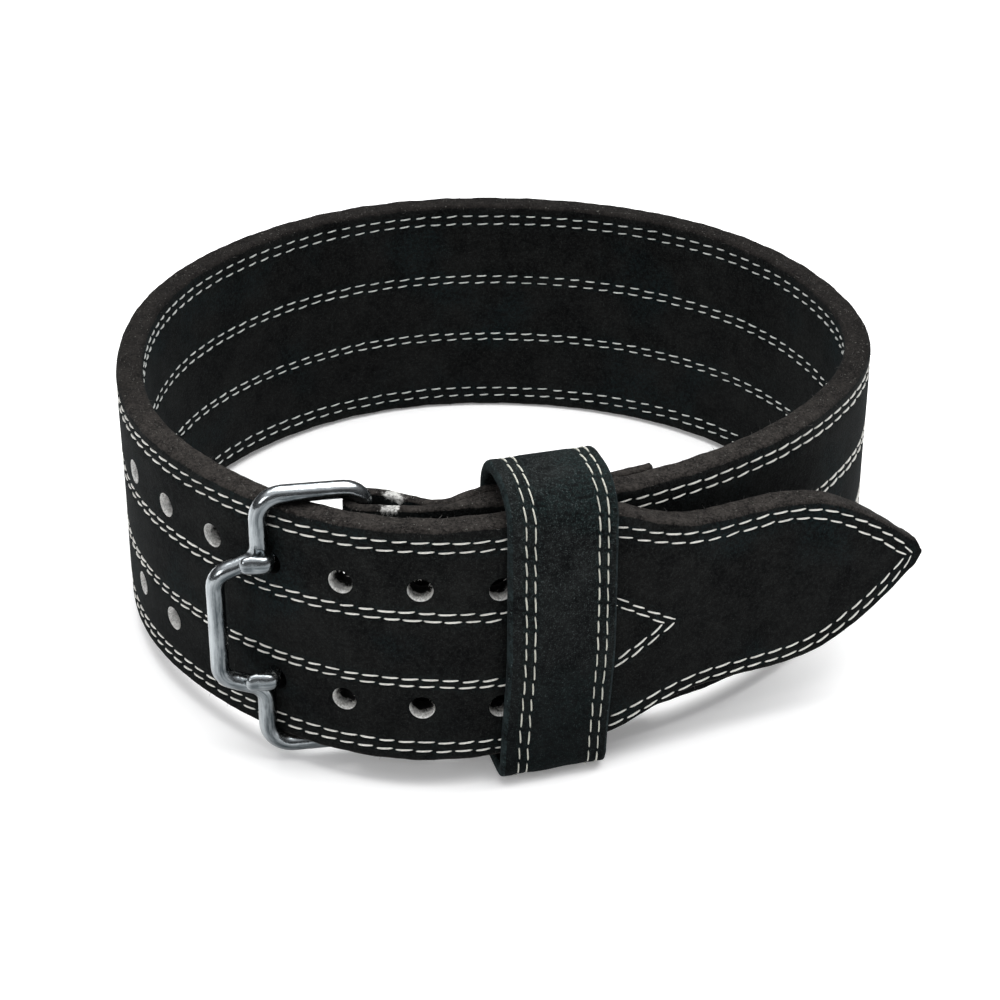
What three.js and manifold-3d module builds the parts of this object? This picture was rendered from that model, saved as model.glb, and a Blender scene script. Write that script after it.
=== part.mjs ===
import * as THREE from "three";
import { mergeVertices } from "three/addons/utils/BufferGeometryUtils.js";
import Module from "manifold-3d";

// Driving dimensions, in millimetres and degrees.
// The strap stands on its long edge: its width runs up Z and it winds round the waist in plan.
const STRAP_WIDTH = 101.6;
const STRAP_THICK = 10.8;
const STRAP_EDGE = 2.6;
const LOOP_RADIUS = 152.5;
const LAYER_GAP = 0.7;
const TAIL_LIFT = 33;
const TAIL_LENGTH = 142;
const TIP_HALF_WIDTH = 1.6;

// The strap's end: it is split thin, folded round the heel bar and stitched back on its inner face.
const PLY_THICK = 4.5;
const PLY_EDGE = 1.4;
const FLAP_LENGTH = 82;
const SKIVE_LENGTH = 14;

// Holes for the prongs, in two rows.
const HOLE_DIAMETER = 10.2;
const HOLE_PITCH = 30;
const HOLE_ROW_SPACING = 51.4;
const HOLES_BEFORE_PRONG = 3;
const HOLES_AFTER_PRONG = 4;

// Buckle, bent from round wire.
const WIRE_DIAMETER = 7;
const FRAME_REACH = 39.4;
const FRAME_BUMP = 16.9;
const FRAME_SLACK = 0.5;
const FRAME_CORNER = 9.5;
const HEEL_CORNER = 8;
const BUMP_CORNER = 7;
const BUMP_HALF_HEIGHT = 22.4;
const BUMP_STEP = 6.5;
const PRONG_DIAMETER = 6.2;
const PRONG_EYE_WALL = 2.4;
const PRONG_OVERHANG = 6;
const PRONG_HOLE_INSET = 2.6;

// Keeper loop.
const KEEPER_WIDTH = 41.5;
const KEEPER_THICK = 5;
const KEEPER_DROP = 5.2;
const KEEPER_HEAD = 9;
const KEEPER_TOP_ROUND = 12;
const KEEPER_FOOT_ROUND = 3;

const CLEARANCE = 0.3;

// Facets.
const STATION_STEP = 6.5;
const WIRE_SIDES = 12;
const HOLE_SIDES = 20;
const ARC_STEPS = 5;
const PRONG_STEPS = 22;

const WIRE_RADIUS = WIRE_DIAMETER / 2;
const PRONG_RADIUS = PRONG_DIAMETER / 2;
const MID_HEIGHT = STRAP_WIDTH / 2;

// Angle round the waist where the strap's folded end holds the heel bar, and where its keeper sits.
const HEEL_ANGLE = -110;
const KEEPER_ANGLE = -80.5;
const SKIVE_ANGLE = -96;

// Outer face of the strap, seen from above. One row for each bend.
// angle: degrees round the waist. reach: share of LOOP_RADIUS.
// rise: share of one strap thickness and gap, as the strap climbs on to its own end.
// open: share of TAIL_LIFT.
const WINDING = [
  { angle: -97, reach: 0.913, rise: 0, open: 0 },
  { angle: -92, reach: 0.888, rise: 0, open: 0 },
  { angle: -80, reach: 0.877, rise: 0, open: 0 },
  { angle: -64, reach: 0.872, rise: 0, open: 0 },
  { angle: -42, reach: 0.895, rise: 0, open: 0 },
  { angle: -21, reach: 0.952, rise: 0, open: 0 },
  { angle: -3, reach: 1.0, rise: 0, open: 0 },
  { angle: 17, reach: 0.994, rise: 0, open: 0 },
  { angle: 39, reach: 0.971, rise: 0, open: 0 },
  { angle: 63, reach: 0.94, rise: 0, open: 0 },
  { angle: 89, reach: 0.926, rise: 0, open: 0 },
  { angle: 115, reach: 0.949, rise: 0, open: 0 },
  { angle: 140, reach: 0.973, rise: 0, open: 0 },
  { angle: 165, reach: 0.996, rise: 0, open: 0 },
  { angle: 185, reach: 0.996, rise: 0.1, open: 0 },
  { angle: 205, reach: 0.98, rise: 0.55, open: 0 },
  { angle: 225, reach: 0.961, rise: 0.85, open: 0 },
  { angle: 237, reach: 0.96, rise: 0.96, open: 0 },
  { angle: 252, reach: 0.962, rise: 1, open: 0 },
  { angle: 264, reach: 0.909, rise: 1, open: 0.13 },
  { angle: 275, reach: 0.88, rise: 1, open: 0.045 },
  { angle: 289, reach: 0.8725, rise: 1, open: 0 },
  { angle: 302, reach: 0.874, rise: 1, open: 0.06 },
  { angle: 314, reach: 0.888, rise: 1, open: 0.23 },
  { angle: 325, reach: 0.914, rise: 1, open: 0.6 },
  { angle: 333, reach: 0.936, rise: 1, open: 0.98 },
];
const TAIL_ANGLE = WINDING[WINDING.length - 1].angle;

// Half width of the tail. back: share of TAIL_LENGTH from the tip. half: share of the strap's half width.
const TAIL_OUTLINE = [
  { back: 0.0, half: 0.0 },
  { back: 0.02, half: 0.09 },
  { back: 0.07, half: 0.225 },
  { back: 0.13, half: 0.365 },
  { back: 0.2, half: 0.5 },
  { back: 0.32, half: 0.665 },
  { back: 0.44, half: 0.722 },
  { back: 0.57, half: 0.722 },
  { back: 0.69, half: 0.732 },
  { back: 0.81, half: 0.82 },
  { back: 0.915, half: 0.943 },
  { back: 1.0, half: 1.0 },
];

const wasm = await Module();
wasm.setup();

// Natural cubic spline through (xs, ys).
function spline(xs, ys) {
  const n = xs.length;
  const bend = new Array(n).fill(0);
  const carry = new Array(n).fill(0);
  for (let i = 1; i < n - 1; i += 1) {
    const left = xs[i] - xs[i - 1];
    const right = xs[i + 1] - xs[i];
    const share = left / (left + right);
    const pivot = share * bend[i - 1] + 2;
    const kink = (ys[i + 1] - ys[i]) / right - (ys[i] - ys[i - 1]) / left;
    bend[i] = (share - 1) / pivot;
    carry[i] = ((6 * kink) / (left + right) - share * carry[i - 1]) / pivot;
  }
  for (let i = n - 2; i >= 0; i -= 1) {
    bend[i] = bend[i] * bend[i + 1] + carry[i];
  }
  return (x) => {
    let i = 0;
    while (i < n - 2 && x > xs[i + 1]) {
      i += 1;
    }
    const h = xs[i + 1] - xs[i];
    const a = (xs[i + 1] - x) / h;
    const b = (x - xs[i]) / h;
    const cubic = (a * a * a - a) * bend[i] + (b * b * b - b) * bend[i + 1];
    return a * ys[i] + b * ys[i + 1] + (cubic * h * h) / 6;
  };
}

const windingAngles = WINDING.map((row) => row.angle);
const windingRadii = WINDING.map(
  (row) => LOOP_RADIUS * row.reach + row.rise * (STRAP_THICK + LAYER_GAP) + row.open * TAIL_LIFT,
);
const faceRadius = spline(windingAngles, windingRadii);

function polar(angle, radius) {
  const turn = THREE.MathUtils.degToRad(angle);
  return new THREE.Vector2(radius * Math.cos(turn), radius * Math.sin(turn));
}

function facePoint(angle) {
  return polar(angle, faceRadius(angle));
}

// Direction along the strap and the way out of its outer face.
function faceAlong(angle) {
  return facePoint(angle + 0.2).sub(facePoint(angle - 0.2)).normalize();
}

function faceOut(angle) {
  const along = faceAlong(angle);
  return new THREE.Vector2(along.y, -along.x);
}

// Length along the outer face, tabled at even angles and read between them.
const TABLE_STEP = 0.25;
const FIRST_ANGLE = WINDING[0].angle;
const lengths = [0];
for (let angle = FIRST_ANGLE; angle < TAIL_ANGLE; angle += TABLE_STEP) {
  const step = facePoint(angle).distanceTo(facePoint(angle + TABLE_STEP));
  lengths.push(lengths[lengths.length - 1] + step);
}

function lengthAt(angle) {
  const place = (angle - FIRST_ANGLE) / TABLE_STEP;
  const i = THREE.MathUtils.clamp(Math.floor(place), 0, lengths.length - 2);
  return lengths[i] + (place - i) * (lengths[i + 1] - lengths[i]);
}

function angleAt(length) {
  let i = 0;
  while (i < lengths.length - 2 && length > lengths[i + 1]) {
    i += 1;
  }
  return FIRST_ANGLE + TABLE_STEP * (i + (length - lengths[i]) / (lengths[i + 1] - lengths[i]));
}

// Angle reached after a length along the outer face; a minus length goes back.
function walk(from, length) {
  return angleAt(lengthAt(from) + length);
}

function spacedAngles(from, to, spacing) {
  const start = lengthAt(from);
  const run = lengthAt(to) - start;
  const count = Math.max(2, Math.round(run / spacing));
  return Array.from({ length: count + 1 }, (_, i) => angleAt(start + (run * i) / count));
}

// Solids.
function solidFrom(vertices, faces) {
  const mesh = new wasm.Mesh({
    numProp: 3,
    vertProperties: new Float32Array(vertices.flat()),
    triVerts: new Uint32Array(faces.flat()),
  });
  mesh.merge();
  const solid = new wasm.Manifold(mesh);
  if (solid.volume() > 0) {
    return solid;
  }
  return solidFrom(vertices, faces.map(([a, b, c]) => [a, c, b]));
}

function solidFromGeometry(geometry) {
  geometry.deleteAttribute("normal");
  geometry.deleteAttribute("uv");
  const merged = mergeVertices(geometry, 1e-4);
  const mesh = new wasm.Mesh({
    numProp: 3,
    vertProperties: new Float32Array(merged.attributes.position.array),
    triVerts: new Uint32Array(merged.index.array),
  });
  return new wasm.Manifold(mesh);
}

// Skin over rings of points with equal counts; open lofts get flat ends.
function loft(rings, closed) {
  const sides = rings[0].length;
  const vertices = rings.flat().map((p) => [p.x, p.y, p.z]);
  const faces = [];
  const spans = closed ? rings.length : rings.length - 1;
  for (let i = 0; i < spans; i += 1) {
    const here = i * sides;
    const next = ((i + 1) % rings.length) * sides;
    for (let j = 0; j < sides; j += 1) {
      const k = (j + 1) % sides;
      faces.push([here + j, next + j, here + k], [here + k, next + j, next + k]);
    }
  }
  if (!closed) {
    [0, rings.length - 1].forEach((i) => {
      const hub = new THREE.Vector3();
      rings[i].forEach((p) => hub.add(p));
      hub.divideScalar(sides);
      vertices.push([hub.x, hub.y, hub.z]);
      for (let j = 0; j < sides; j += 1) {
        const k = (j + 1) % sides;
        const edge = [i * sides + j, i * sides + k];
        faces.push(i === 0 ? [...edge, vertices.length - 1] : [edge[1], edge[0], vertices.length - 1]);
      }
    });
  }
  return solidFrom(vertices, faces);
}

// Rounded rectangle as (depth, height) pairs; depth runs from 0 inwards. rounds: foot and head radius.
function roundedSection(depth, low, high, footRound, headRound) {
  const corners = [
    [footRound, low + footRound, footRound, 180],
    [depth - footRound, low + footRound, footRound, 270],
    [depth - headRound, high - headRound, headRound, 0],
    [headRound, high - headRound, headRound, 90],
  ];
  const points = [];
  corners.forEach(([x, z, radius, start]) => {
    for (let i = 0; i <= 2; i += 1) {
      const turn = THREE.MathUtils.degToRad(start + i * 45);
      points.push([x + radius * Math.cos(turn), z + radius * Math.sin(turn)]);
    }
  });
  return points;
}

function ring(origin, out, section) {
  return section.map(([depth, z]) => new THREE.Vector3(
    origin.x - out.x * depth,
    origin.y - out.y * depth,
    z,
  ));
}

// Round bar along centres that lie in an upright plane or any gentle path.
function tube(centres, radius, closed, side) {
  const rings = centres.map((centre, i) => {
    const last = centres.length - 1;
    const before = centres[closed ? (i + last) % centres.length : Math.max(0, i - 1)];
    const after = centres[closed ? (i + 1) % centres.length : Math.min(last, i + 1)];
    const along = after.clone().sub(before).normalize();
    const across = side.clone().addScaledVector(along, -side.dot(along)).normalize();
    const up = along.clone().cross(across);
    const size = Array.isArray(radius) ? radius[i] : radius;
    return Array.from({ length: WIRE_SIDES }, (_, j) => {
      const turn = (j / WIRE_SIDES) * 2 * Math.PI;
      return centre.clone()
        .addScaledVector(across, size * Math.cos(turn))
        .addScaledVector(up, size * Math.sin(turn));
    });
  });
  return loft(rings, closed);
}

// Strap.
function halfWidthAt(backFromTip) {
  const share = Math.min(1, backFromTip / TAIL_LENGTH);
  const curve = spline(TAIL_OUTLINE.map((row) => row.back), TAIL_OUTLINE.map((row) => row.half));
  const half = Math.min(1, curve(share)) * MID_HEIGHT;
  return share >= 1 ? MID_HEIGHT : Math.max(TIP_HALF_WIDTH, half);
}

const skiveEnd = walk(SKIVE_ANGLE, SKIVE_LENGTH);

function strapThickness(angle) {
  const share = THREE.MathUtils.clamp((angle - SKIVE_ANGLE) / (skiveEnd - SKIVE_ANGLE), 0, 1);
  return PLY_THICK + (STRAP_THICK - PLY_THICK) * share;
}

function strapBody() {
  const shoulder = walk(TAIL_ANGLE, -TAIL_LENGTH);
  const angles = [
    ...spacedAngles(SKIVE_ANGLE, shoulder, STATION_STEP),
    ...spacedAngles(shoulder, TAIL_ANGLE, STATION_STEP * 0.7).slice(1),
  ];
  let back = 0;
  const rings = [];
  for (let i = angles.length - 1; i >= 0; i -= 1) {
    if (i < angles.length - 1) {
      back += facePoint(angles[i]).distanceTo(facePoint(angles[i + 1]));
    }
    const half = halfWidthAt(back);
    const thick = strapThickness(angles[i]);
    const edge = Math.min(STRAP_EDGE, half * 0.45, thick * 0.3);
    const section = roundedSection(thick, MID_HEIGHT - half, MID_HEIGHT + half, edge, edge);
    rings.unshift(ring(facePoint(angles[i]), faceOut(angles[i]), section));
  }
  return loft(rings, false);
}

// Heel bar: just behind the layer that passes over it.
const barOffset = WIRE_RADIUS + CLEARANCE + PLY_THICK;
const overHeel = HEEL_ANGLE + 360;
const heelRadius = faceRadius(overHeel) - STRAP_THICK - LAYER_GAP - barOffset;
const heel = polar(HEEL_ANGLE, heelRadius);

// Way along the buckle frame, turned out until its side bars clear the strap's outer face.
function frameAlong() {
  const away = new THREE.Vector2(-1, 0);
  const room = WIRE_RADIUS + CLEARANCE;
  let low = -40;
  let high = 60;
  for (let i = 0; i < 40; i += 1) {
    const middle = (low + high) / 2;
    const way = away.clone().rotateAround(new THREE.Vector2(), THREE.MathUtils.degToRad(middle));
    const bar = heel.clone().addScaledVector(way, FRAME_REACH);
    let angle = THREE.MathUtils.radToDeg(Math.atan2(bar.y, bar.x));
    angle = angle < 0 ? angle + 360 : angle;
    let nearest = Infinity;
    for (let near = angle - 12; near <= angle + 12; near += 0.25) {
      nearest = Math.min(nearest, bar.distanceTo(facePoint(near)));
    }
    const clear = bar.length() > faceRadius(angle) && nearest >= room;
    if (clear) {
      high = middle;
    } else {
      low = middle;
    }
  }
  return away.rotateAround(new THREE.Vector2(), THREE.MathUtils.degToRad(high));
}
const frameWay = frameAlong();
const frameOut = new THREE.Vector2(-frameWay.y, frameWay.x);

function framePoint(reach, out, z) {
  const p = heel.clone().addScaledVector(frameWay, reach).addScaledVector(frameOut, out);
  return new THREE.Vector3(p.x, p.y, z);
}

// Polygon with its corners rounded; corners are [reach, height, radius].
function filleted(corners) {
  const points = [];
  corners.forEach(([x, z, radius], i) => {
    const here = new THREE.Vector2(x, z);
    const [px, pz] = corners[(i + corners.length - 1) % corners.length];
    const [nx, nz] = corners[(i + 1) % corners.length];
    const back = new THREE.Vector2(px, pz).sub(here).normalize();
    const ahead = new THREE.Vector2(nx, nz).sub(here).normalize();
    const half = Math.acos(THREE.MathUtils.clamp(back.dot(ahead), -1, 1)) / 2;
    const centre = here.clone().addScaledVector(back.clone().add(ahead).normalize(), radius / Math.sin(half));
    const cut = radius / Math.tan(half);
    const start = here.clone().addScaledVector(back, cut).sub(centre);
    const end = here.clone().addScaledVector(ahead, cut).sub(centre);
    const sweep = Math.atan2(start.cross(end), start.dot(end));
    for (let k = 0; k <= ARC_STEPS; k += 1) {
      points.push(start.clone().rotateAround(new THREE.Vector2(), (sweep * k) / ARC_STEPS).add(centre));
    }
  });
  return points;
}

const frameFoot = -WIRE_RADIUS - CLEARANCE;
const frameHead = STRAP_WIDTH + FRAME_SLACK + WIRE_RADIUS + CLEARANCE;
const frameMiddle = (frameFoot + frameHead) / 2;

function frameLoop(growth) {
  const far = FRAME_REACH + FRAME_BUMP;
  const inner = BUMP_HALF_HEIGHT;
  const outer = BUMP_HALF_HEIGHT + BUMP_STEP;
  const outline = filleted([
    [0, frameFoot, HEEL_CORNER],
    [FRAME_REACH, frameFoot, FRAME_CORNER],
    [FRAME_REACH, frameMiddle - outer, BUMP_CORNER],
    [far, frameMiddle - inner, BUMP_CORNER],
    [far, frameMiddle + inner, BUMP_CORNER],
    [FRAME_REACH, frameMiddle + outer, BUMP_CORNER],
    [FRAME_REACH, frameHead, FRAME_CORNER],
    [0, frameHead, HEEL_CORNER],
  ]);
  const centres = outline.map((p) => framePoint(p.x, 0, p.y));
  return tube(centres, WIRE_RADIUS + growth, true, new THREE.Vector3(frameOut.x, frameOut.y, 0));
}

// Prong: an eye round the heel bar and a bar that comes up through the strap and over the frame.
const eyeInner = WIRE_RADIUS + CLEARANCE;
const eyeOuter = eyeInner + PRONG_EYE_WALL;

// The holes that the prongs come through lie just inside the frame's side bars.
const prongExit = framePoint(FRAME_REACH - PRONG_HOLE_INSET, 0, 0);
const PRONG_HOLE_ANGLE = THREE.MathUtils.radToDeg(Math.atan2(prongExit.y, prongExit.x)) + 360;

// A point off the strap's outer face; a minus lift goes in towards the waist.
function offFace(angle, lift, z) {
  const p = facePoint(angle).addScaledVector(faceOut(angle), lift);
  return new THREE.Vector3(p.x, p.y, z);
}

function prongBar(z, growth) {
  const rest = WIRE_RADIUS + PRONG_RADIUS + CLEARANCE;
  const tip = FRAME_REACH + PRONG_OVERHANG;
  const behind = -STRAP_THICK - PRONG_RADIUS - CLEARANCE;
  const spread = PRONG_HOLE_ANGLE - HEEL_ANGLE - 360;
  const rows = [
    { at: framePoint(eyeInner - 1.4, 0, z).lerp(framePoint(eyeOuter, 0, z), 0.7), size: 0.8 },
    { at: offFace(HEEL_ANGLE + 360 + spread * 0.45, behind - 1, z), size: 1 },
    { at: offFace(PRONG_HOLE_ANGLE - spread * 0.25, behind, z), size: 1 },
    { at: offFace(PRONG_HOLE_ANGLE - spread * 0.04, behind * 0.86, z), size: 1 },
    { at: offFace(PRONG_HOLE_ANGLE, -STRAP_THICK * 0.45, z), size: 1 },
    { at: offFace(PRONG_HOLE_ANGLE, 1.5, z), size: 1 },
    { at: framePoint(FRAME_REACH - 0.5, rest, z), size: 1 },
    { at: framePoint(tip, rest, z), size: 1 },
    { at: framePoint(tip + PRONG_RADIUS * 0.6, rest, z), size: 0.8 },
    { at: framePoint(tip + PRONG_RADIUS * 0.95, rest, z), size: 0.35 },
  ];
  const route = new THREE.CatmullRomCurve3(rows.map((row) => row.at), false, "centripetal");
  const sizeAt = (share) => {
    const place = Math.min(rows.length - 1.001, share * (rows.length - 1));
    const i = Math.floor(place);
    return rows[i].size + (place - i) * (rows[i + 1].size - rows[i].size);
  };
  const shares = Array.from({ length: PRONG_STEPS + 1 }, (_, i) => i / PRONG_STEPS);
  const sizes = shares.map((share) => PRONG_RADIUS * sizeAt(share) + growth);
  return tube(shares.map((share) => route.getPoint(share)), sizes, false, new THREE.Vector3(0, 0, 1));
}

function upright(radius, low, high, x, y, sides) {
  const geometry = new THREE.CylinderGeometry(radius, radius, high - low, sides);
  geometry.rotateX(Math.PI / 2);
  geometry.translate(x, y, (low + high) / 2);
  return solidFromGeometry(geometry);
}

function prong(z) {
  const half = PRONG_RADIUS;
  const eye = upright(eyeOuter, z - half, z + half, heel.x, heel.y, WIRE_SIDES * 2);
  const bore = upright(eyeInner, z - half - 1, z + half + 1, heel.x, heel.y, WIRE_SIDES * 2);
  return eye.add(prongBar(z, 0)).subtract(bore).subtract(frameLoop(CLEARANCE));
}

// Fold of the strap's thin end: in front of the heel bar, round it, and back along the inner face.
function foldBody() {
  const middle = WIRE_RADIUS + CLEARANCE + PLY_THICK / 2;
  const plyCentre = (angle) => polar(angle, faceRadius(angle) - PLY_THICK / 2);
  const flapCentre = (angle) => {
    const out = faceOut(angle);
    return facePoint(angle).addScaledVector(out, -strapThickness(angle) - PLY_THICK / 2 + CLEARANCE);
  };
  const path = [plyCentre(SKIVE_ANGLE + 2), plyCentre(SKIVE_ANGLE)];
  const around = new THREE.Vector2(0, -middle);
  for (let i = 0; i <= 8; i += 1) {
    const turned = around.clone().rotateAround(new THREE.Vector2(), (-Math.PI * i) / 8);
    path.push(heel.clone().add(turned));
  }
  const flapEnd = walk(SKIVE_ANGLE, FLAP_LENGTH);
  for (let angle = SKIVE_ANGLE; angle < flapEnd; angle += 2.5) {
    path.push(flapCentre(angle));
  }
  path.push(flapCentre(flapEnd));
  const edge = PLY_EDGE;
  const section = roundedSection(PLY_THICK, 0, STRAP_WIDTH, edge, edge);
  const rings = path.map((p, i) => {
    const after = path[Math.min(path.length - 1, i + 1)];
    const before = path[Math.max(0, i - 1)];
    const along = after.clone().sub(before).normalize();
    const out = new THREE.Vector2(along.y, -along.x);
    return ring(p.clone().addScaledVector(out, PLY_THICK / 2), out, section);
  });
  return loft(rings, false);
}

const prongHeights = [
  frameMiddle + HOLE_ROW_SPACING / 2,
  frameMiddle - HOLE_ROW_SPACING / 2,
];

function foldSlot(z) {
  const depth = eyeOuter + PLY_THICK + CLEARANCE * 2;
  const geometry = new THREE.BoxGeometry(depth * 2, eyeOuter * 2 + 2 * CLEARANCE, PRONG_DIAMETER + 4 * CLEARANCE);
  geometry.rotateZ(Math.atan2(frameWay.y, frameWay.x));
  geometry.translate(heel.x + frameWay.x * (depth - eyeOuter), heel.y + frameWay.y * (depth - eyeOuter), z);
  return solidFromGeometry(geometry);
}

function holeAt(angle, z) {
  const out = faceOut(angle);
  const length = STRAP_THICK + LAYER_GAP * 1.5;
  const geometry = new THREE.CylinderGeometry(HOLE_DIAMETER / 2, HOLE_DIAMETER / 2, length, HOLE_SIDES);
  geometry.rotateZ(Math.PI / 2);
  geometry.rotateZ(Math.atan2(out.y, out.x));
  const centre = facePoint(angle).addScaledVector(out, -STRAP_THICK / 2);
  geometry.translate(centre.x, centre.y, z);
  return solidFromGeometry(geometry);
}

function beltStrap() {
  let fold = foldBody();
  prongHeights.forEach((z) => {
    fold = fold.subtract(foldSlot(z));
  });
  let strap = strapBody();
  for (let i = -HOLES_BEFORE_PRONG; i <= HOLES_AFTER_PRONG; i += 1) {
    const angle = i === 0 ? PRONG_HOLE_ANGLE : walk(PRONG_HOLE_ANGLE, i * HOLE_PITCH);
    [-0.5, 0.5].forEach((side) => {
      strap = strap.subtract(holeAt(angle, MID_HEIGHT + side * HOLE_ROW_SPACING));
    });
  }
  prongHeights.forEach((z) => {
    strap = strap.subtract(prongBar(z, CLEARANCE));
  });
  return strap.add(fold).subtract(frameLoop(CLEARANCE));
}

// Keeper: a band round both layers and the flap, following the strap's bend.
const keeperMiddle = KEEPER_ANGLE + 360;
const keeperFrom = walk(keeperMiddle, -KEEPER_WIDTH / 2);
const keeperTo = walk(keeperMiddle, KEEPER_WIDTH / 2);

// Depth inside the keeper: the thickest place of what it holds, with its clearance.
function keeperInside() {
  let stack = 0;
  for (let angle = keeperFrom; angle <= keeperTo; angle += 1) {
    const back = faceRadius(angle) - faceRadius(angle - 360) + STRAP_THICK + PLY_THICK;
    stack = Math.max(stack, back);
  }
  return stack + 2 * CLEARANCE;
}

function keeperBody() {
  const inside = keeperInside();
  const outside = inside + 2 * KEEPER_THICK;
  const low = -KEEPER_DROP;
  const high = STRAP_WIDTH + KEEPER_HEAD;
  const shell = roundedSection(
    outside,
    low - KEEPER_THICK,
    high + KEEPER_THICK,
    KEEPER_FOOT_ROUND + KEEPER_THICK,
    KEEPER_TOP_ROUND + KEEPER_THICK,
  );
  const hollow = roundedSection(inside, low, high, KEEPER_FOOT_ROUND, KEEPER_TOP_ROUND);
  const band = (section, lift, extra) => {
    const start = walk(keeperFrom, -extra);
    const end = walk(keeperTo, extra);
    const angles = spacedAngles(start, end, STATION_STEP);
    return loft(angles.map((angle) => {
      const out = faceOut(angle);
      return ring(facePoint(angle).addScaledVector(out, lift), out, section);
    }), false);
  };
  return band(shell, CLEARANCE + KEEPER_THICK, 0).subtract(band(hollow, CLEARANCE, 2));
}

// Finished meshes.
const suede = new THREE.MeshStandardMaterial({ color: 0x1c1e1f, roughness: 0.95, metalness: 0 });
const keeperSuede = new THREE.MeshStandardMaterial({ color: 0x26292a, roughness: 0.95, metalness: 0 });
const plated = new THREE.MeshStandardMaterial({ color: 0xd3d4d2, roughness: 0.2, metalness: 1 });

function meshOf(name, solid, material) {
  const data = solid.getMesh();
  const geometry = new THREE.BufferGeometry();
  geometry.setAttribute("position", new THREE.BufferAttribute(new Float32Array(data.vertProperties), 3));
  geometry.setIndex(new THREE.BufferAttribute(new Uint32Array(data.triVerts), 1));
  const mesh = new THREE.Mesh(geometry, material);
  mesh.name = name;
  return mesh;
}

const belt = new THREE.Group();
belt.add(meshOf("belt_strap", beltStrap(), suede));
belt.add(meshOf("buckle_frame", frameLoop(0), plated));
belt.add(meshOf("prong_upper", prong(prongHeights[0]), plated));
belt.add(meshOf("prong_lower", prong(prongHeights[1]), plated));
belt.add(meshOf("keeper", keeperBody(), keeperSuede));

// The keeper reaches below the strap, so the belt leans back a little as it stands:
// it rests on the inner edge of the keeper's foot and on the strap's edge at the back.
const drop = KEEPER_DROP + KEEPER_THICK;
const standBack = facePoint(90).y - STRAP_EDGE;
const standFront = facePoint(keeperMiddle).y + keeperInside() - KEEPER_FOOT_ROUND;
belt.rotation.x = -Math.atan2(drop, standBack - standFront);
belt.updateMatrixWorld(true);
const box = new THREE.Box3().setFromObject(belt, true);
const group = new THREE.Group();
belt.position.set(-(box.min.x + box.max.x) / 2, -(box.min.y + box.max.y) / 2, -box.min.z);
group.add(belt);

export default group;
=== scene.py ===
"""A wide black suede lifting belt, fastened in a loop and standing on its long edge.

The strap, its folded end, the keeper, the wire buckle with its two prongs, the stitching and the loose
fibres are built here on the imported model's frame. Lengths in the classes are millimetres on the upright
belt; Placement leans the belt and takes it to the frame's metres.
"""

import logging
import math
import random
from collections.abc import Iterable, Iterator, Sequence
from dataclasses import dataclass, field
from enum import Enum

import bmesh
import bpy
import numpy as np
from mathutils import Matrix, Vector
from mathutils.kdtree import KDTree


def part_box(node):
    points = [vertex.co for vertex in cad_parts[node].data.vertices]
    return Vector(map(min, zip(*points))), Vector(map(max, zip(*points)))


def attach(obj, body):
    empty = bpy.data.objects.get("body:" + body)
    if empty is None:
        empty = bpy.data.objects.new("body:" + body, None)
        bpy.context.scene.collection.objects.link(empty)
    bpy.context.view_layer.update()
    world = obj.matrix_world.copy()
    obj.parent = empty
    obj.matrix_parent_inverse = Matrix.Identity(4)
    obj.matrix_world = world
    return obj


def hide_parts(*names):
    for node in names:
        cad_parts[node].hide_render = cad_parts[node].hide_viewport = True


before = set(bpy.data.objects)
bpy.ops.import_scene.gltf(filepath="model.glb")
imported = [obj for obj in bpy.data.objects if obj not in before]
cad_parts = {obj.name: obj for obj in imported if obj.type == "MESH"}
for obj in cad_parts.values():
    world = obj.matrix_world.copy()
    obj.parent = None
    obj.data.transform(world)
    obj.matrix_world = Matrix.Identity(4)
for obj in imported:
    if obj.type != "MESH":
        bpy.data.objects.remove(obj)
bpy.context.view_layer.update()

log = logging.getLogger("belt")

MM = 0.001
BODY = "root"

# Sizes that more than one piece shares, in millimetres.
STRAP_WIDTH = 101.6
STRAP_THICK = 10.8
STRAP_EDGE = 2.6
MIDDLE = STRAP_WIDTH / 2
LAYER_GAP = 0.7
CLEARANCE = 0.3
PLY_THICK = 4.5
HOLE_ROW_SPACING = 51.4
KEEPER_WIDTH = 41.5
KEEPER_THICK = 5.0
KEEPER_DROP = 5.2

# Places round the waist, in degrees seen from above, with the front at -90.
SKIVE_ANGLE = -96.0
HEEL_ANGLE = -110.0
KEEPER_ANGLE = -80.5
TURN = 360.0


# Shape tables


@dataclass(frozen=True)
class Bend:
    """One bend of the strap's outer face, seen from above.

    rise is the share of one layer climbed on to the strap's own end; open is the share of the tail's lift.
    """

    angle: float
    reach: float
    rise: float = 0.0
    open: float = 0.0


BENDS = (
    Bend(-97, 0.913),
    Bend(-92, 0.888),
    Bend(-80, 0.877),
    Bend(-64, 0.872),
    Bend(-42, 0.895),
    Bend(-21, 0.952),
    Bend(-3, 1.0),
    Bend(17, 0.994),
    Bend(39, 0.971),
    Bend(63, 0.94),
    Bend(89, 0.926),
    Bend(115, 0.949),
    Bend(140, 0.973),
    Bend(165, 0.996),
    Bend(185, 0.996, 0.1),
    Bend(205, 0.98, 0.55),
    Bend(225, 0.961, 0.85),
    Bend(237, 0.96, 0.96),
    Bend(252, 0.962, 1),
    Bend(264, 0.909, 1, 0.13),
    Bend(275, 0.88, 1, 0.045),
    Bend(289, 0.8725, 1),
    Bend(302, 0.874, 1, 0.06),
    Bend(314, 0.888, 1, 0.23),
    Bend(325, 0.914, 1, 0.6),
    Bend(333, 0.936, 1, 0.98),
)


@dataclass(frozen=True)
class TailWidth:
    """Half width of the tail: back is the share of its length from the tip, half the share of the strap's."""

    back: float
    half: float


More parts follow.
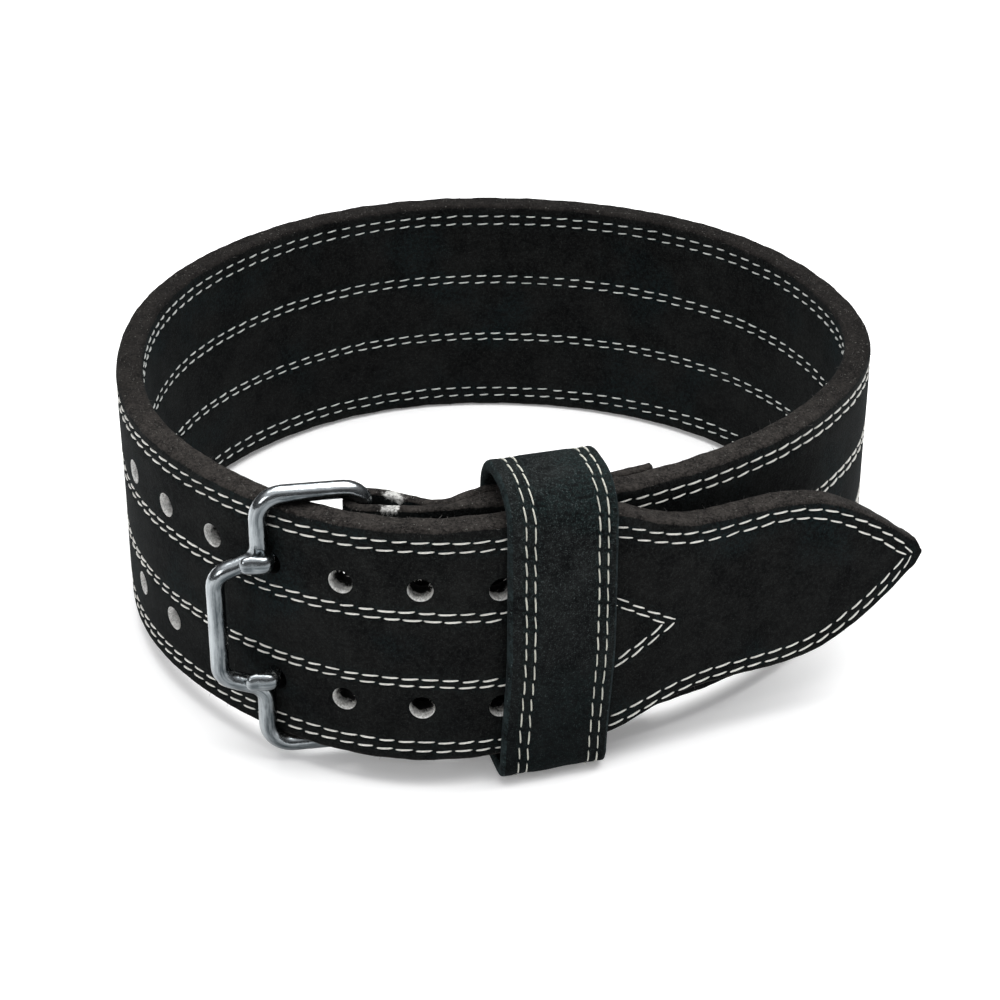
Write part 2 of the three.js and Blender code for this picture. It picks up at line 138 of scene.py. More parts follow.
TAIL_WIDTHS = (
    TailWidth(0.0, 0.0),
    TailWidth(0.008, 0.075),
    TailWidth(0.03, 0.142),
    TailWidth(0.07, 0.235),
    TailWidth(0.13, 0.365),
    TailWidth(0.2, 0.5),
    TailWidth(0.32, 0.665),
    TailWidth(0.44, 0.722),
    TailWidth(0.57, 0.722),
    TailWidth(0.69, 0.732),
    TailWidth(0.81, 0.82),
    TailWidth(0.915, 0.943),
    TailWidth(1.0, 1.0),
)


class Face(Enum):
    """The two faces of the strap."""

    OUTER = "outer"
    INNER = "inner"


# Curves


class Curve:
    """Natural cubic spline through a short table of numbers or points."""

    def __init__(self, xs: Sequence[float], ys: Sequence) -> None:
        """Fits the spline.

        Args:
            xs: Rising places.
            ys: The number or point at each place.
        """
        self.xs = np.asarray(xs, float)
        self.ys = np.asarray(ys, float)
        count = len(self.xs)
        pull = np.eye(count)
        kink = np.zeros_like(self.ys)
        for i in range(1, count - 1):
            left, right = self.xs[i] - self.xs[i - 1], self.xs[i + 1] - self.xs[i]
            pull[i, i - 1 : i + 2] = left / 6, (left + right) / 3, right / 6
            kink[i] = (self.ys[i + 1] - self.ys[i]) / right - (self.ys[i] - self.ys[i - 1]) / left
        self.bends = np.linalg.solve(pull, kink)

    def __call__(self, x: float | np.ndarray) -> np.ndarray:
        """Reads the spline.

        Args:
            x: One place or an array of them.

        Returns:
            The number or point at each place.
        """
        x = np.asarray(x, float)
        i = np.clip(np.searchsorted(self.xs, x) - 1, 0, len(self.xs) - 2)
        span = self.xs[i + 1] - self.xs[i]
        a, b = (self.xs[i + 1] - x) / span, (x - self.xs[i]) / span
        if self.ys.ndim > 1:
            a, b, span = a[..., None], b[..., None], span[..., None]
        bow = (a**3 - a) * self.bends[i] + (b**3 - b) * self.bends[i + 1]
        return a * self.ys[i] + b * self.ys[i + 1] + bow * span**2 / 6


def polar(angle: float | np.ndarray, radius: float | np.ndarray) -> np.ndarray:
    """Point in plan at an angle in degrees and a radius."""
    turn = np.radians(angle)
    return np.stack((radius * np.cos(turn), radius * np.sin(turn)), -1)


def unit(vectors: np.ndarray) -> np.ndarray:
    """Vectors on the last axis, each at length one."""
    return vectors / np.linalg.norm(vectors, axis=-1, keepdims=True)


def smooth_step(low: float, high: float, x: float | np.ndarray) -> np.ndarray:
    """Smooth climb of x from 0 at low to 1 at high."""
    share = np.clip((np.asarray(x, float) - low) / (high - low), 0, 1)
    return share * share * (3 - 2 * share)


def arc(centre: Sequence[float], radius: float, start: float, end: float, steps: int) -> list[tuple]:
    """Points on an arc in a plane, from one angle in degrees to another, ends included."""
    turns = np.radians(np.linspace(start, end, steps + 1))
    return [(centre[0] + radius * math.cos(t), centre[1] + radius * math.sin(t)) for t in turns]


def glide(points: np.ndarray, weights: Sequence[float], steps: int = 9) -> tuple[np.ndarray, np.ndarray]:
    """Smooth path through a few points that doesn't swing wide of them.

    Args:
        points: The points.
        weights: A number at each point.
        steps: How many steps each span is cut into.

    Returns:
        The path, and the number at each of its points.
    """
    ends = np.vstack((2 * points[0] - points[1], points, 2 * points[-1] - points[-2]))
    knots = np.concatenate(([0], np.cumsum(np.sqrt(np.linalg.norm(np.diff(ends, axis=0), axis=1)))))
    found, sizes = [], []
    for i in range(len(points) - 1):
        four, at = ends[i : i + 4], knots[i : i + 4]
        for k in range(steps):
            stop = at[1] + (at[2] - at[1]) * k / steps
            row = list(four)
            for level in (1, 2):
                for j in range(4 - level):
                    low, high = at[j], at[j + level]
                    row[j] = (row[j] * (high - stop) + row[j + 1] * (stop - low)) / (high - low)
            found.append((row[0] * (at[2] - stop) + row[1] * (stop - at[1])) / (at[2] - at[1]))
            sizes.append(weights[i] + (weights[i + 1] - weights[i]) * k / steps)
    return np.array([*found, points[-1]]), np.array([*sizes, weights[-1]])


def run_along(points: np.ndarray) -> np.ndarray:
    """Length along a polyline up to each of its points."""
    return np.concatenate(([0], np.cumsum(np.linalg.norm(np.diff(points, axis=0), axis=1))))


def right_of(along: np.ndarray) -> np.ndarray:
    """The ways to the right of ways in a plane."""
    return np.stack((along[:, 1], -along[:, 0]), -1)


def spaced(points: np.ndarray, pitch: float) -> np.ndarray:
    """Points at even steps along a polyline.

    Args:
        points: The polyline.
        pitch: The step.

    Returns:
        The even points.
    """
    run = run_along(points)
    stops = np.linspace(0, run[-1], max(2, round(run[-1] / pitch) + 1))
    return np.stack([np.interp(stops, run, points[:, k]) for k in range(points.shape[1])], -1)


@dataclass
class Winding:
    """Plan of the strap's outer face, from its folded end, round the waist, to the tip of its tail."""

    loop_radius: float = 152.5
    climb: float = STRAP_THICK + LAYER_GAP
    tail_lift: float = 33.0
    step: float = 0.1

    def __post_init__(self) -> None:
        """Tables the face's points, its ways out and its lengths."""
        radii = [self.loop_radius * b.reach + b.rise * self.climb + b.open * self.tail_lift for b in BENDS]
        self.radius = Curve([b.angle for b in BENDS], radii)
        self.angles = np.arange(BENDS[0].angle, BENDS[-1].angle + self.step / 2, self.step)
        self.points = self.at(self.angles)
        along = unit(self.at(self.angles + 0.2) - self.at(self.angles - 0.2))
        self.outs = right_of(along)
        self.lengths = run_along(self.points)

    def at(self, angle: float | np.ndarray) -> np.ndarray:
        """Point of the face at an angle."""
        return polar(angle, self.radius(angle))

    def length_at(self, angle: float) -> float:
        """Length along the face up to an angle."""
        return float(np.interp(angle, self.angles, self.lengths))

    def angle_at(self, length: float) -> float:
        """Angle reached after a length along the face."""
        return float(np.interp(length, self.lengths, self.angles))

    def face(self, length: float | np.ndarray) -> tuple[np.ndarray, np.ndarray]:
        """Point of the face and unit vector out of it, in plan, at a length along it."""
        point = np.stack([np.interp(length, self.lengths, self.points[:, k]) for k in (0, 1)], -1)
        out = np.stack([np.interp(length, self.lengths, self.outs[:, k]) for k in (0, 1)], -1)
        return point, unit(out)

    def place(self, length: np.ndarray, depth: np.ndarray, height: np.ndarray) -> np.ndarray:
        """Point at a length, a depth behind the outer face and a height.

        Args:
            length: Length along the face.
            depth: Way in from the face.
            height: Height above the strap's lower edge.

        Returns:
            The points, on the last axis.
        """
        length, depth, height = np.broadcast_arrays(length, depth, height)
        point, out = self.face(length)
        plan = point - out * depth[..., None]
        return np.concatenate((plan, height[..., None]), -1)


@dataclass
class Placement:
    """Takes the upright belt, in millimetres, to the frame, where it leans back on its keeper's foot."""

    lean: float
    shift: Vector = field(default_factory=Vector)

    def matrix(self) -> Matrix:
        """The whole move, as one matrix."""
        return Matrix.Translation(self.shift) @ Matrix.Rotation(self.lean, 4, "X") @ Matrix.Scale(MM, 4)

    def settle(self, points: np.ndarray, node: str) -> None:
        """Shifts the belt until the points of one piece lie in its node's box.

        Args:
            points: Points of the piece, in millimetres.
            node: The node that the piece stands for.
        """
        turn = np.array(Matrix.Rotation(self.lean, 3, "X"))
        turned = points.reshape(-1, 3) @ turn.T * MM
        low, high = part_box(node)
        middle = (turned.min(0) + turned.max(0)) / 2
        self.shift = (low + high) / 2 - Vector(middle)


# Meshes


def to_mesh(body: bmesh.types.BMesh, name: str) -> bpy.types.Mesh:
    """Writes a body to a new mesh and frees it.

    Args:
        body: The body, which is used up.
        name: The mesh's name.

    Returns:
        The mesh.
    """
    mesh = bpy.data.meshes.new(name)
    body.to_mesh(mesh)
    body.free()
    return mesh


def put_in(name: str, data: bpy.types.ID) -> bpy.types.Object:
    """Makes an object of a mesh, lamp or camera and puts it in the scene.

    Args:
        name: The object's name.
        data: What it is made of.

    Returns:
        The object.
    """
    made = bpy.data.objects.new(name, data)
    bpy.context.scene.collection.objects.link(made)
    return made


def grid_body(
    places: np.ndarray,
    marks: dict[str, np.ndarray] | None = None,
    spread: np.ndarray | None = None,
    body: bmesh.types.BMesh | None = None,
) -> bmesh.types.BMesh:
    """A grid carried on to a swept surface, with its seams joined and its open ends filled.

    Args:
        places: Where each corner goes, by column and row.
        marks: Numbers kept at each corner, by name.
        spread: The corner's place on the finish's own map.
        body: A body to add to; a new one when left out.

    Returns:
        The body.
    """
    made = bmesh.new()
    columns, rows = places.shape[:2]
    bmesh.ops.create_grid(made, x_segments=columns - 1, y_segments=rows - 1, size=1.0)
    layers = {name: made.verts.layers.float.new(name) for name in (marks or {})}
    seats = {}
    for vert in made.verts:
        i = round((vert.co.x + 1) / 2 * (columns - 1))
        j = round((vert.co.y + 1) / 2 * (rows - 1))
        seats[vert] = (i, j)
    if spread is not None:
        chart = made.loops.layers.uv.new("spread")
        for face in made.faces:
            for loop in face.loops:
                loop[chart].uv = spread[seats[loop.vert]]
    for vert, seat in seats.items():
        vert.co = places[seat]
        for name, layer in layers.items():
            vert[layer] = float(marks[name][seat])
    bmesh.ops.remove_doubles(made, verts=made.verts, dist=0.002)
    open_edges = [edge for edge in made.edges if edge.is_boundary]
    if open_edges:
        bmesh.ops.holes_fill(made, edges=open_edges, sides=0)
    bmesh.ops.recalc_face_normals(made, faces=made.faces)
    if body is None:
        return made
    joined = to_mesh(made, "joined")
    body.from_mesh(joined)
    bpy.data.meshes.remove(joined)
    return body


def tube_places(
    centres: np.ndarray,
    radii: np.ndarray,
    side: Sequence[float],
    sides: int,
    closed: bool,
    flats: np.ndarray | None = None,
) -> np.ndarray:
    """Corners of a round or flattened bar along a path.

    Args:
        centres: The path.
        radii: The bar's radius at each point.
        side: A way across the path that never runs along it.
        sides: How many sides the bar has.
        closed: Whether the path ends where it starts.
        flats: Share of the radius left across the side, at each point; all of it when left out.

    Returns:
        The corners by column and row, with the seams repeated.
    """
    if closed:
        ahead, behind = np.roll(centres, -1, 0), np.roll(centres, 1, 0)
    else:
        ahead, behind = np.vstack((centres[1:], centres[-1:])), np.vstack((centres[:1], centres[:-1]))
    along = unit(ahead - behind)
    side = np.asarray(side, float)
    across = unit(side - along * (along @ side)[:, None])
    up = np.cross(along, across)
    turns = np.linspace(0, 2 * math.pi, sides + 1)
    if flats is not None:
        up = up * flats[:, None]
    ring = np.cos(turns)[None, :, None] * across[:, None] + np.sin(turns)[None, :, None] * up[:, None]
    places = centres[:, None] + ring * radii[:, None, None]
    return np.concatenate((places, places[:1])) if closed else places


def bar_chart(places: np.ndarray) -> np.ndarray:
    """Chart of a swept bar: length along it and length round it, in metres.

    Args:
        places: The bar's corners, by column and row.

    Returns:
        The chart's place for each corner.
    """
    along = run_along(places.mean(1)) * MM
    round_way = np.linalg.norm(np.diff(places, axis=1), axis=2).sum(1).mean() * MM
    girth = np.linspace(0, round_way, places.shape[1])
    return np.stack(np.broadcast_arrays(along[:, None], girth[None]), -1)


def finish_piece(
    name: str,
    body: bmesh.types.BMesh,
    placement: Placement,
    finishes: Sequence["Finish"],
    replaces: Sequence[str] = (),
) -> bpy.types.Object:
    """Turns a body to a dressed piece on the frame.

    Args:
        name: The piece's name.
        body: Its shape, in millimetres on the upright belt.
        placement: Takes it to the frame.
        finishes: Its finishes, in the order of its faces' material indices.
        replaces: The nodes that it stands for.

    Returns:
        The piece.
    """
    bmesh.ops.transform(body, matrix=placement.matrix(), verts=body.verts)
    for part in body.faces:
        part.smooth = True
    mesh = to_mesh(body, name)
    for finish in finishes:
        mesh.materials.append(finish.material())
    piece = put_in(name, mesh)
    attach(piece, BODY)
    if replaces:
        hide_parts(*replaces)
    log.info("%s: %d faces", name, len(mesh.polygons))
    return piece


def cut_away(body: bmesh.types.BMesh, cutter: bmesh.types.BMesh) -> bmesh.types.BMesh:
    """The body without what the cutter covers.

    Args:
        body: A closed body.
        cutter: A closed body, which is used up.

    Returns:
        The cut body.
    """
    holders = [put_in("cut", to_mesh(shape, "cut")) for shape in (body, cutter)]
    change = holders[0].modifiers.new("cut", "BOOLEAN")
    change.operation = "DIFFERENCE"
    change.solver = "EXACT"
    change.object = holders[1]
    bpy.context.view_layer.update()
    solved = holders[0].evaluated_get(bpy.context.evaluated_depsgraph_get())
    result = bmesh.new()
    result.from_mesh(solved.to_mesh())
    solved.to_mesh_clear()
    for holder in holders:
        mesh = holder.data
        bpy.data.objects.remove(holder)
        bpy.data.meshes.remove(mesh)
    return result


# Finishes


class Signal:
    """A shader socket that takes part in Python expressions."""

    def __init__(self, kit: "NodeKit", socket: bpy.types.NodeSocket) -> None:
        self.kit = kit
        self.socket = socket

    def __add__(self, other: "Signal | float") -> "Signal":
        """Sum."""
        return self.kit.math("ADD", self, other)

    __radd__ = __add__

    def __sub__(self, other: "Signal | float") -> "Signal":
        """Difference."""
        return self.kit.math("SUBTRACT", self, other)

    def __rsub__(self, other: float) -> "Signal":
        """Difference, the other way round."""
        return self.kit.math("SUBTRACT", other, self)

    def __mul__(self, other: "Signal | float") -> "Signal":
        """Product."""
        return self.kit.math("MULTIPLY", self, other)

    __rmul__ = __mul__

    def climb(self, low: float, high: float) -> "Signal":
        """Smooth climb from 0 at low to 1 at high."""
        settings = {"interpolation_type": "SMOOTHSTEP"}
        sockets = {"Value": self, "From Min": low, "From Max": high}
        return self.kit.out("ShaderNodeMapRange", settings, sockets)


class NodeKit:
    """Builds the node tree of one material."""

    def __init__(self, name: str) -> None:
        """Starts an empty material."""
        self.material = bpy.data.materials.new(name)
        self.material.use_nodes = True
        self.tree = self.material.node_tree
        self.tree.nodes.clear()

    def add(self, kind: str, settings: dict | None = None, sockets: dict | None = None) -> bpy.types.Node:
        """Adds a node.

        Args:
            kind: The node's type.
            settings: Its options, which are set first.
            sockets: The value or signal of each input, by name or index.

        Returns:
            The node.
        """
        node = self.tree.nodes.new(kind)
        for name, value in (settings or {}).items():
            setattr(node, name, value)
        for key, value in (sockets or {}).items():
            if isinstance(value, Signal):
                self.tree.links.new(value.socket, node.inputs[key])
            else:
                node.inputs[key].default_value = value
        return node

    def out(
        self, kind: str, settings: dict | None = None, sockets: dict | None = None, key: int | str = 0
    ) -> Signal:
        """Adds a node and gives the output with this name or index."""
        return Signal(self, self.add(kind, settings, sockets).outputs[key])

    def math(self, operation: str, *values: "Signal | float") -> Signal:
        """Arithmetic on numbers."""
        return self.out("ShaderNodeMath", {"operation": operation}, dict(enumerate(values)))

    def noise(self, where: Signal, size: float, detail: float = 3.0, roughness: float = 0.55) -> Signal:
        """Soft noise, from 0 to 1; where is in metres, and size is its features' width in millimetres."""
        sockets = {"Vector": where, "Scale": 1 / (size * MM), "Detail": detail, "Roughness": roughness}
        return self.out("ShaderNodeTexNoise", None, sockets)

    def blend(self, share: "Signal | float", low: "Signal | Sequence", high: "Signal | Sequence") -> Signal:
        """Colour that is this share of the way from one colour to another."""
        return self.out("ShaderNodeMix", {"data_type": "RGBA"}, {0: share, 6: low, 7: high}, 2)

    def mark(self, name: str) -> Signal:
        """A number kept on the mesh's corners."""
        return self.out("ShaderNodeAttribute", {"attribute_name": name}, None, "Fac")

    def bump(self, height: Signal, depth: float) -> Signal:
        """Normal of a relief; a height of 1 stands for this depth in millimetres."""
        return self.out("ShaderNodeBump", None, {"Height": height, "Distance": depth * MM, "Strength": 1.0})

    def axis(self, vector: Signal, index: int) -> Signal:
        """One part of a vector."""
        return Signal(self, self.add("ShaderNodeSeparateXYZ", None, {0: vector}).outputs[index])

    def surface(self, sockets: dict) -> bpy.types.Material:
        """Ends the tree in one shader with these inputs, and gives the material."""
        shader = self.out("ShaderNodeBsdfPrincipled", None, sockets)
        self.add("ShaderNodeOutputMaterial", None, {"Surface": shader})
        return self.material

    def where(self) -> Signal:
        """The piece's own coordinates, in metres."""
        return self.out("ShaderNodeTexCoord", None, None, "Object")

    def chart(self) -> Signal:
        """The finish's own map."""
        return self.out("ShaderNodeUVMap", {"uv_map": "spread"})

    def stretched(self, where: Signal, scale: Sequence[float]) -> Signal:
        """Coordinates scaled along each axis."""
        return self.out("ShaderNodeMapping", None, {"Vector": where, "Scale": scale})


Colour = tuple[float, float, float, float]


@dataclass(frozen=True)
class Finish:
    """What all finishes share: a name, and a material that is made once."""

    name: str

    def material(self) -> bpy.types.Material:
        """The material, made on first use."""
        return bpy.data.materials.get(self.name) or self.build(NodeKit(self.name))

    def build(self, kit: NodeKit) -> bpy.types.Material:
        """Builds the material."""
        raise NotImplementedError


@dataclass(frozen=True)
class Suede(Finish):
    """Napped split leather, with mottled nap, raw brown-grey edges and lint."""

    dark: Colour = (0.0012, 0.0014, 0.0015, 1)
    light: Colour = (0.0128, 0.0136, 0.0130, 1)
    tint: Colour = (0.0040, 0.0130, 0.0150, 1)
    edge_dark: Colour = (0.0048, 0.0045, 0.0044, 1)
    edge_light: Colour = (0.040, 0.036, 0.033, 1)
    lint: Colour = (0.11, 0.11, 0.10, 1)
    fleck: Colour = (0.030, 0.033, 0.033, 1)
    fluff: Colour = (0.52, 0.52, 0.50, 1)
    fleck_share: float = 0.5
    # Share of painted shade at the foot.
    foot_shade: float = 0.25
    nap_relief: float = 0.45
    sheen: float = 0.012

    def build(self, kit: NodeKit) -> bpy.types.Material:
        """Builds the material: nap colour, then raw edges, seams and frayed fluff by their marks.

        As in the photograph, painted light makes the raw edges paler in front and painted shade makes the nap
        darker towards the foot.

        Args:
            kit: Builds its nodes.

        Returns:
            The material.
        """
        where = kit.where()
        mottle = kit.noise(where, 24, 3, 0.6)
        patch = kit.noise(where, 7, 3, 0.6)
        nap = kit.noise(where, 1.3, 4, 0.65)
        fibre = kit.noise(where, 0.45, 2, 0.6)
        edge = kit.mark("edge")
        seam = kit.mark("seam")
        tuft = nap * 0.55 + fibre * 0.45
        lie = mottle.climb(0.36, 0.66) * 0.3 + patch.climb(0.34, 0.68) * 0.22 + tuft.climb(0.41, 0.61) * 0.6
        face = kit.blend(lie, self.dark, self.light)
        cloud = kit.noise(where, 38, 2).climb(0.5, 0.7)
        face = kit.blend(cloud * nap.climb(0.35, 0.7) * 0.6, face, self.tint)
        face = kit.blend(seam * nap.climb(0.42, 0.62) * 0.5, face, self.tint)
        grain = kit.noise(where, 1.1, 5, 0.75)
        # Painted light: the raw edges are brightened towards the front of the belt by position, on top of
        # their scuff noise.
        front = (0 - kit.axis(where, 1)).climb(0.0, 100 * MM)
        scuff_and_front_light = (patch.climb(0.3, 0.7) * 0.35 + grain.climb(0.36, 0.7) * 0.75) * (0.5 + front * 0.75)
        raw = kit.blend(scuff_and_front_light, self.edge_dark, self.edge_light)
        ragged = (edge + (patch - 0.5) * 0.5 + (nap - 0.5) * 0.6).climb(0.42, 0.72)
        flecks = fibre.climb(0.56, 0.7) * nap.climb(0.4, 0.6) * self.fleck_share
        face = kit.blend(flecks, face, self.fleck)
        # Painted shade: the nap is darkened towards the foot by height.
        foot = 1 - kit.axis(where, 2).climb(0.0, 110 * MM)
        face = kit.blend(foot * self.foot_shade, face, self.dark)
        colour = kit.blend(ragged, face, raw)
        specks = kit.noise(where, 0.9, 1, 0.4).climb(0.7, 0.76)
        colour = kit.blend(specks * (0.06 + edge * 0.8), colour, self.lint)
        fluff = kit.mark("fluff")
        wisps = (fluff + (nap - 0.5) * 1.3 + (patch - 0.5) * 1.2).climb(0.42, 0.85)
        colour = kit.blend(wisps * fluff.climb(0.0, 0.2), colour, self.fluff)
        relief = nap * 0.55 + fibre * 0.25 + patch * 0.5 + grain * edge * 0.9
        return kit.surface(
            {
                "Base Color": colour,
                "Roughness": 0.82 + nap * 0.18,
                "Normal": kit.bump(relief, self.nap_relief),
                "Specular IOR Level": 0.04,
                "Sheen Weight": self.sheen,
                "Sheen Roughness": 0.45,
                "Sheen Tint": (0.62, 0.80, 0.88, 1),
            }
        )


@dataclass(frozen=True)
class RawHide(Finish):
    """Undyed leather that shows in the punched holes, pale and fibrous, with painted shade further in."""

    pale: Colour = (0.86, 0.86, 0.84, 1)
    dull: Colour = (0.50, 0.495, 0.48, 1)
    hole_shade_colour: Colour = (0.012, 0.012, 0.012, 1)

    def build(self, kit: NodeKit) -> bpy.types.Material:
        """Builds the material: pale strands that fade to painted shade with the hole shade mark.

        Args:
            kit: Builds its nodes.

        Returns:
            The material.
        """
        where = kit.where()
        strands = kit.noise(kit.stretched(where, (1, 0.35, 1)), 0.55, 4, 0.7)
        patches = kit.noise(where, 2.4, 3, 0.6)
        colour = kit.blend(strands.climb(0.36, 0.6), self.dull, self.pale)
        # Painted shade: the wall darkens deeper into the hole and all through a filled hole, broken up by
        # noise.
        depth = kit.mark("hole_shade") + (patches - 0.5) * 0.9 + (strands - 0.5) * 0.35
        colour = kit.blend(depth.climb(0.2, 0.62), colour, self.hole_shade_colour)
        sockets = {"Base Color": colour, "Normal": kit.bump(strands, 0.4)}
        return kit.surface({**sockets, "Roughness": 0.95, "Specular IOR Level": 0.1})


@dataclass(frozen=True)
class Thread(Finish):
    """Twisted off-white thread; the spread map runs along and round each stitch."""

    clean: Colour = (0.80, 0.79, 0.74, 1)
    soil_and_shade: Colour = (0.42, 0.42, 0.39, 1)
    plies: float = 3.0

    def build(self, kit: NodeKit) -> bpy.types.Material:
        """Builds the material: slanting plies, soil, and painted shade in the plies' grooves and on the ends
        where they dive.

        Args:
            kit: Builds its nodes.

        Returns:
            The material.
        """
        chart = kit.chart()
        along, girth = kit.axis(chart, 0), kit.axis(chart, 1)
        twist = kit.math("SINE", (along * self.plies + girth * 2.0) * math.tau) * 0.5 + 0.5
        ends = kit.math("ABSOLUTE", along - 0.5).climb(0.36, 0.5)
        soil = kit.noise(kit.where(), 9, 3, 0.6).climb(0.42, 0.75)
        # Painted shade on the stitch ends and in the plies' grooves, mixed with real soil from noise.
        colour = kit.blend(ends * 0.75 + soil * 0.35 + (1 - twist) * 0.22, self.clean, self.soil_and_shade)
        return kit.surface(
            {
                "Base Color": colour,
                "Roughness": 0.62,
                "Normal": kit.bump(twist, 0.12),
                "Sheen Weight": 0.2,
                "Specular IOR Level": 0.3,
            }
        )


@dataclass(frozen=True)
class PlatedWire(Finish):
    """Bright plating over bent wire, with handling marks, a dull film and painted shade on its right-facing
    sides.
    """

    bright: Colour = (0.40, 0.43, 0.445, 1)
    # film is also the colour of the painted shade on the right-facing sides.
    film: Colour = (0.022, 0.030, 0.035, 1)

    def build(self, kit: NodeKit) -> bpy.types.Material:
        """Builds the material: film patches, drawn streaks, small dents and painted shade.

        Painted shade darkens the sides that face right and not up, so the wire is brightest on the left and
        on top, as in the photograph.

        Args:
            kit: Builds its nodes.

        Returns:
            The material.
        """
        chart = kit.chart()
        film = kit.noise(kit.stretched(chart, (0.22, 1, 1)), 3.4, 4, 0.65)
        streaks = kit.noise(kit.stretched(chart, (0.06, 1, 1)), 0.55, 3, 0.6)
        dents = kit.noise(kit.where(), 3.2, 2, 0.5)
        # Painted shade: sides whose normals face right and not up are darkened toward the film colour.
        facing = kit.out("ShaderNodeNewGeometry", None, None, "Normal")
        level = 1 - kit.axis(facing, 2).climb(0.05, 0.5)
        side_shade = kit.axis(facing, 0).climb(-0.95, 0.25) * level
        # dull holds the real film and streaks together with the painted side shade.
        dull = film.climb(0.4, 0.62) * 0.25 + streaks.climb(0.4, 0.65) * 0.1 + side_shade * 0.64
        colour = kit.blend(dull, self.bright, self.film)
        return kit.surface(
            {
                "Base Color": colour,
                "Metallic": 1.0,
                "Roughness": 0.14 + film.climb(0.4, 0.75) * 0.16 + streaks * 0.06,
                "Normal": kit.bump(dents * 0.8 + streaks * 0.16, 0.2),
            }
        )


@dataclass(frozen=True)
class Fibre(Finish):
    """Loose leather fibres."""

    colour: Colour = (0.03, 0.03, 0.03, 1)
    light: Colour = (0.10, 0.095, 0.09, 1)

    def build(self, kit: NodeKit) -> bpy.types.Material:
        """Builds the material: fibres of slightly different shades."""
        share = kit.noise(kit.where(), 3, 2, 0.6).climb(0.35, 0.65)
        return kit.surface({"Base Color": kit.blend(share, self.colour, self.light), "Roughness": 0.9})


@dataclass(frozen=True)
class PaleFloor(Finish):
    """Plain white studio floor that glows a little, so that shadows stay faint."""

    colour: Colour = (0.93, 0.93, 0.93, 1)
    glow: float = 0.22

    def build(self, kit: NodeKit) -> bpy.types.Material:
        """Builds the material: white with the faintest unevenness."""
        tone = kit.noise(kit.where(), 700, 1, 0.4)
        colour = kit.blend(tone * 0.02, self.colour, (0.9, 0.9, 0.9, 1))
        sockets = {"Emission Color": self.colour, "Emission Strength": self.glow, "Specular IOR Level": 0.05}
        return kit.surface({"Base Color": colour, "Roughness": 0.9, **sockets})


STRAP_SUEDE = Suede("strap_nap")
KEEPER_SUEDE = Suede(
    "keeper_nap",
    dark=(0.0012, 0.0016, 0.0018, 1),
    light=(0.0190, 0.0215, 0.0212, 1),
    tint=(0.006, 0.017, 0.017, 1),
    edge_dark=(0.0050, 0.0072, 0.0080, 1),
    edge_light=(0.020, 0.030, 0.031, 1),
    lint=(0.10, 0.13, 0.13, 1),
    fleck=(0.070, 0.085, 0.085, 1),
    fleck_share=0.8,
    foot_shade=0.65,
    sheen=0.02,
)
RAW_HIDE = RawHide("raw_hide")
STITCH_THREAD = Thread("stitch_thread")
SOILED_THREAD = Thread("soiled_thread", clean=(0.60, 0.60, 0.52, 1), soil_and_shade=(0.26, 0.27, 0.24, 1))
DULL_THREAD = Thread("dull_thread", clean=(0.62, 0.64, 0.61, 1), soil_and_shade=(0.24, 0.27, 0.27, 1))
PLATED = PlatedWire("bright_plating")
DARK_FIBRE = Fibre("dark_fibre")
PALE_FIBRE = Fibre("pale_fibre", colour=(0.22, 0.215, 0.2, 1), light=(0.66, 0.65, 0.62, 1))
FLOOR = PaleFloor("pale_floor")


# The strap


@dataclass
class SeamPlan:
    """The lines of stitching, drawn flat on the strap: length along it against height.

    Two outer pairs follow the strap's edges and meet round the tail's tip. Two middle pairs run together in
    a point just past the keeper.
    """

    strap: "Strap"
    outer_insets: tuple[float, float] = (5.2, 9.0)
    tail_insets: tuple[float, float] = (3.7, 7.4)
    middle_rows: tuple[tuple[float, float], ...] = ((66.6, 0.0), (63.3, 5.0), (37.3, 5.0), (34.4, 0.0))
    middle_sag: float = 2.6
    edge_sag: float = 1.4
    point_height: float = 46.8
    point_angle: float = 298.2
    point_slope: float = 0.625

    def edge_line(self, inset: float, tail_inset: float) -> np.ndarray:
        """One line that follows both edges and turns round the tip.

        Args:
            inset: Its distance from the strap's edge.
            tail_inset: Its distance from the tail's edge.

        Returns:
            The line's points.
        """
        strap = self.strap
        lengths = np.arange(strap.start, strap.end + 0.25, 0.5)
        half = strap.half_width(lengths)
        slope = np.gradient(half, lengths)
        tail = smooth_step(strap.shoulder, strap.shoulder + 30, lengths)
        gap = inset + (tail_inset - inset) * tail
        lean = np.sqrt(1 + slope**2)
        line = np.stack((lengths + gap * slope / lean, half - gap / lean), -1)
        line = line[: int(np.argmax(line[:, 1] < 0.4)) or len(line)]
        sag = self.edge_sag * self.strap.sag(line[:, 0])
        upper = line + (0, MIDDLE) - np.stack((0 * sag, sag), -1)
        lower = (line * (1, -1) + (0, MIDDLE) - np.stack((0 * sag, sag), -1))[::-1]
        return np.vstack((upper, lower))

    def middle_line(self, height: float, inset: float) -> np.ndarray:
        """One middle row and its arm of the point.

        Args:
            height: Its height along the strap.
            inset: How far it stops short of the outer point.

        Returns:
            The line's points.
        """
        tip = self.strap.winding.length_at(self.point_angle) - inset
        bend = tip - abs(height - self.middle_sag - self.point_height) / self.point_slope
        lengths = np.arange(self.strap.start, bend, 2.0)
        heights = height - self.middle_sag * self.strap.sag(lengths)
        row = np.stack((lengths, heights), -1)
        return np.vstack((row, (bend, height - self.middle_sag), (tip, self.point_height)))

    def lines(self) -> list[np.ndarray]:
        """All the lines, each as closely spaced points."""
        found = [self.edge_line(*insets) for insets in zip(self.outer_insets, self.tail_insets)]
        found += [self.middle_line(height, inset) for height, inset in self.middle_rows]
        return [spaced(line, 0.8) for line in found]


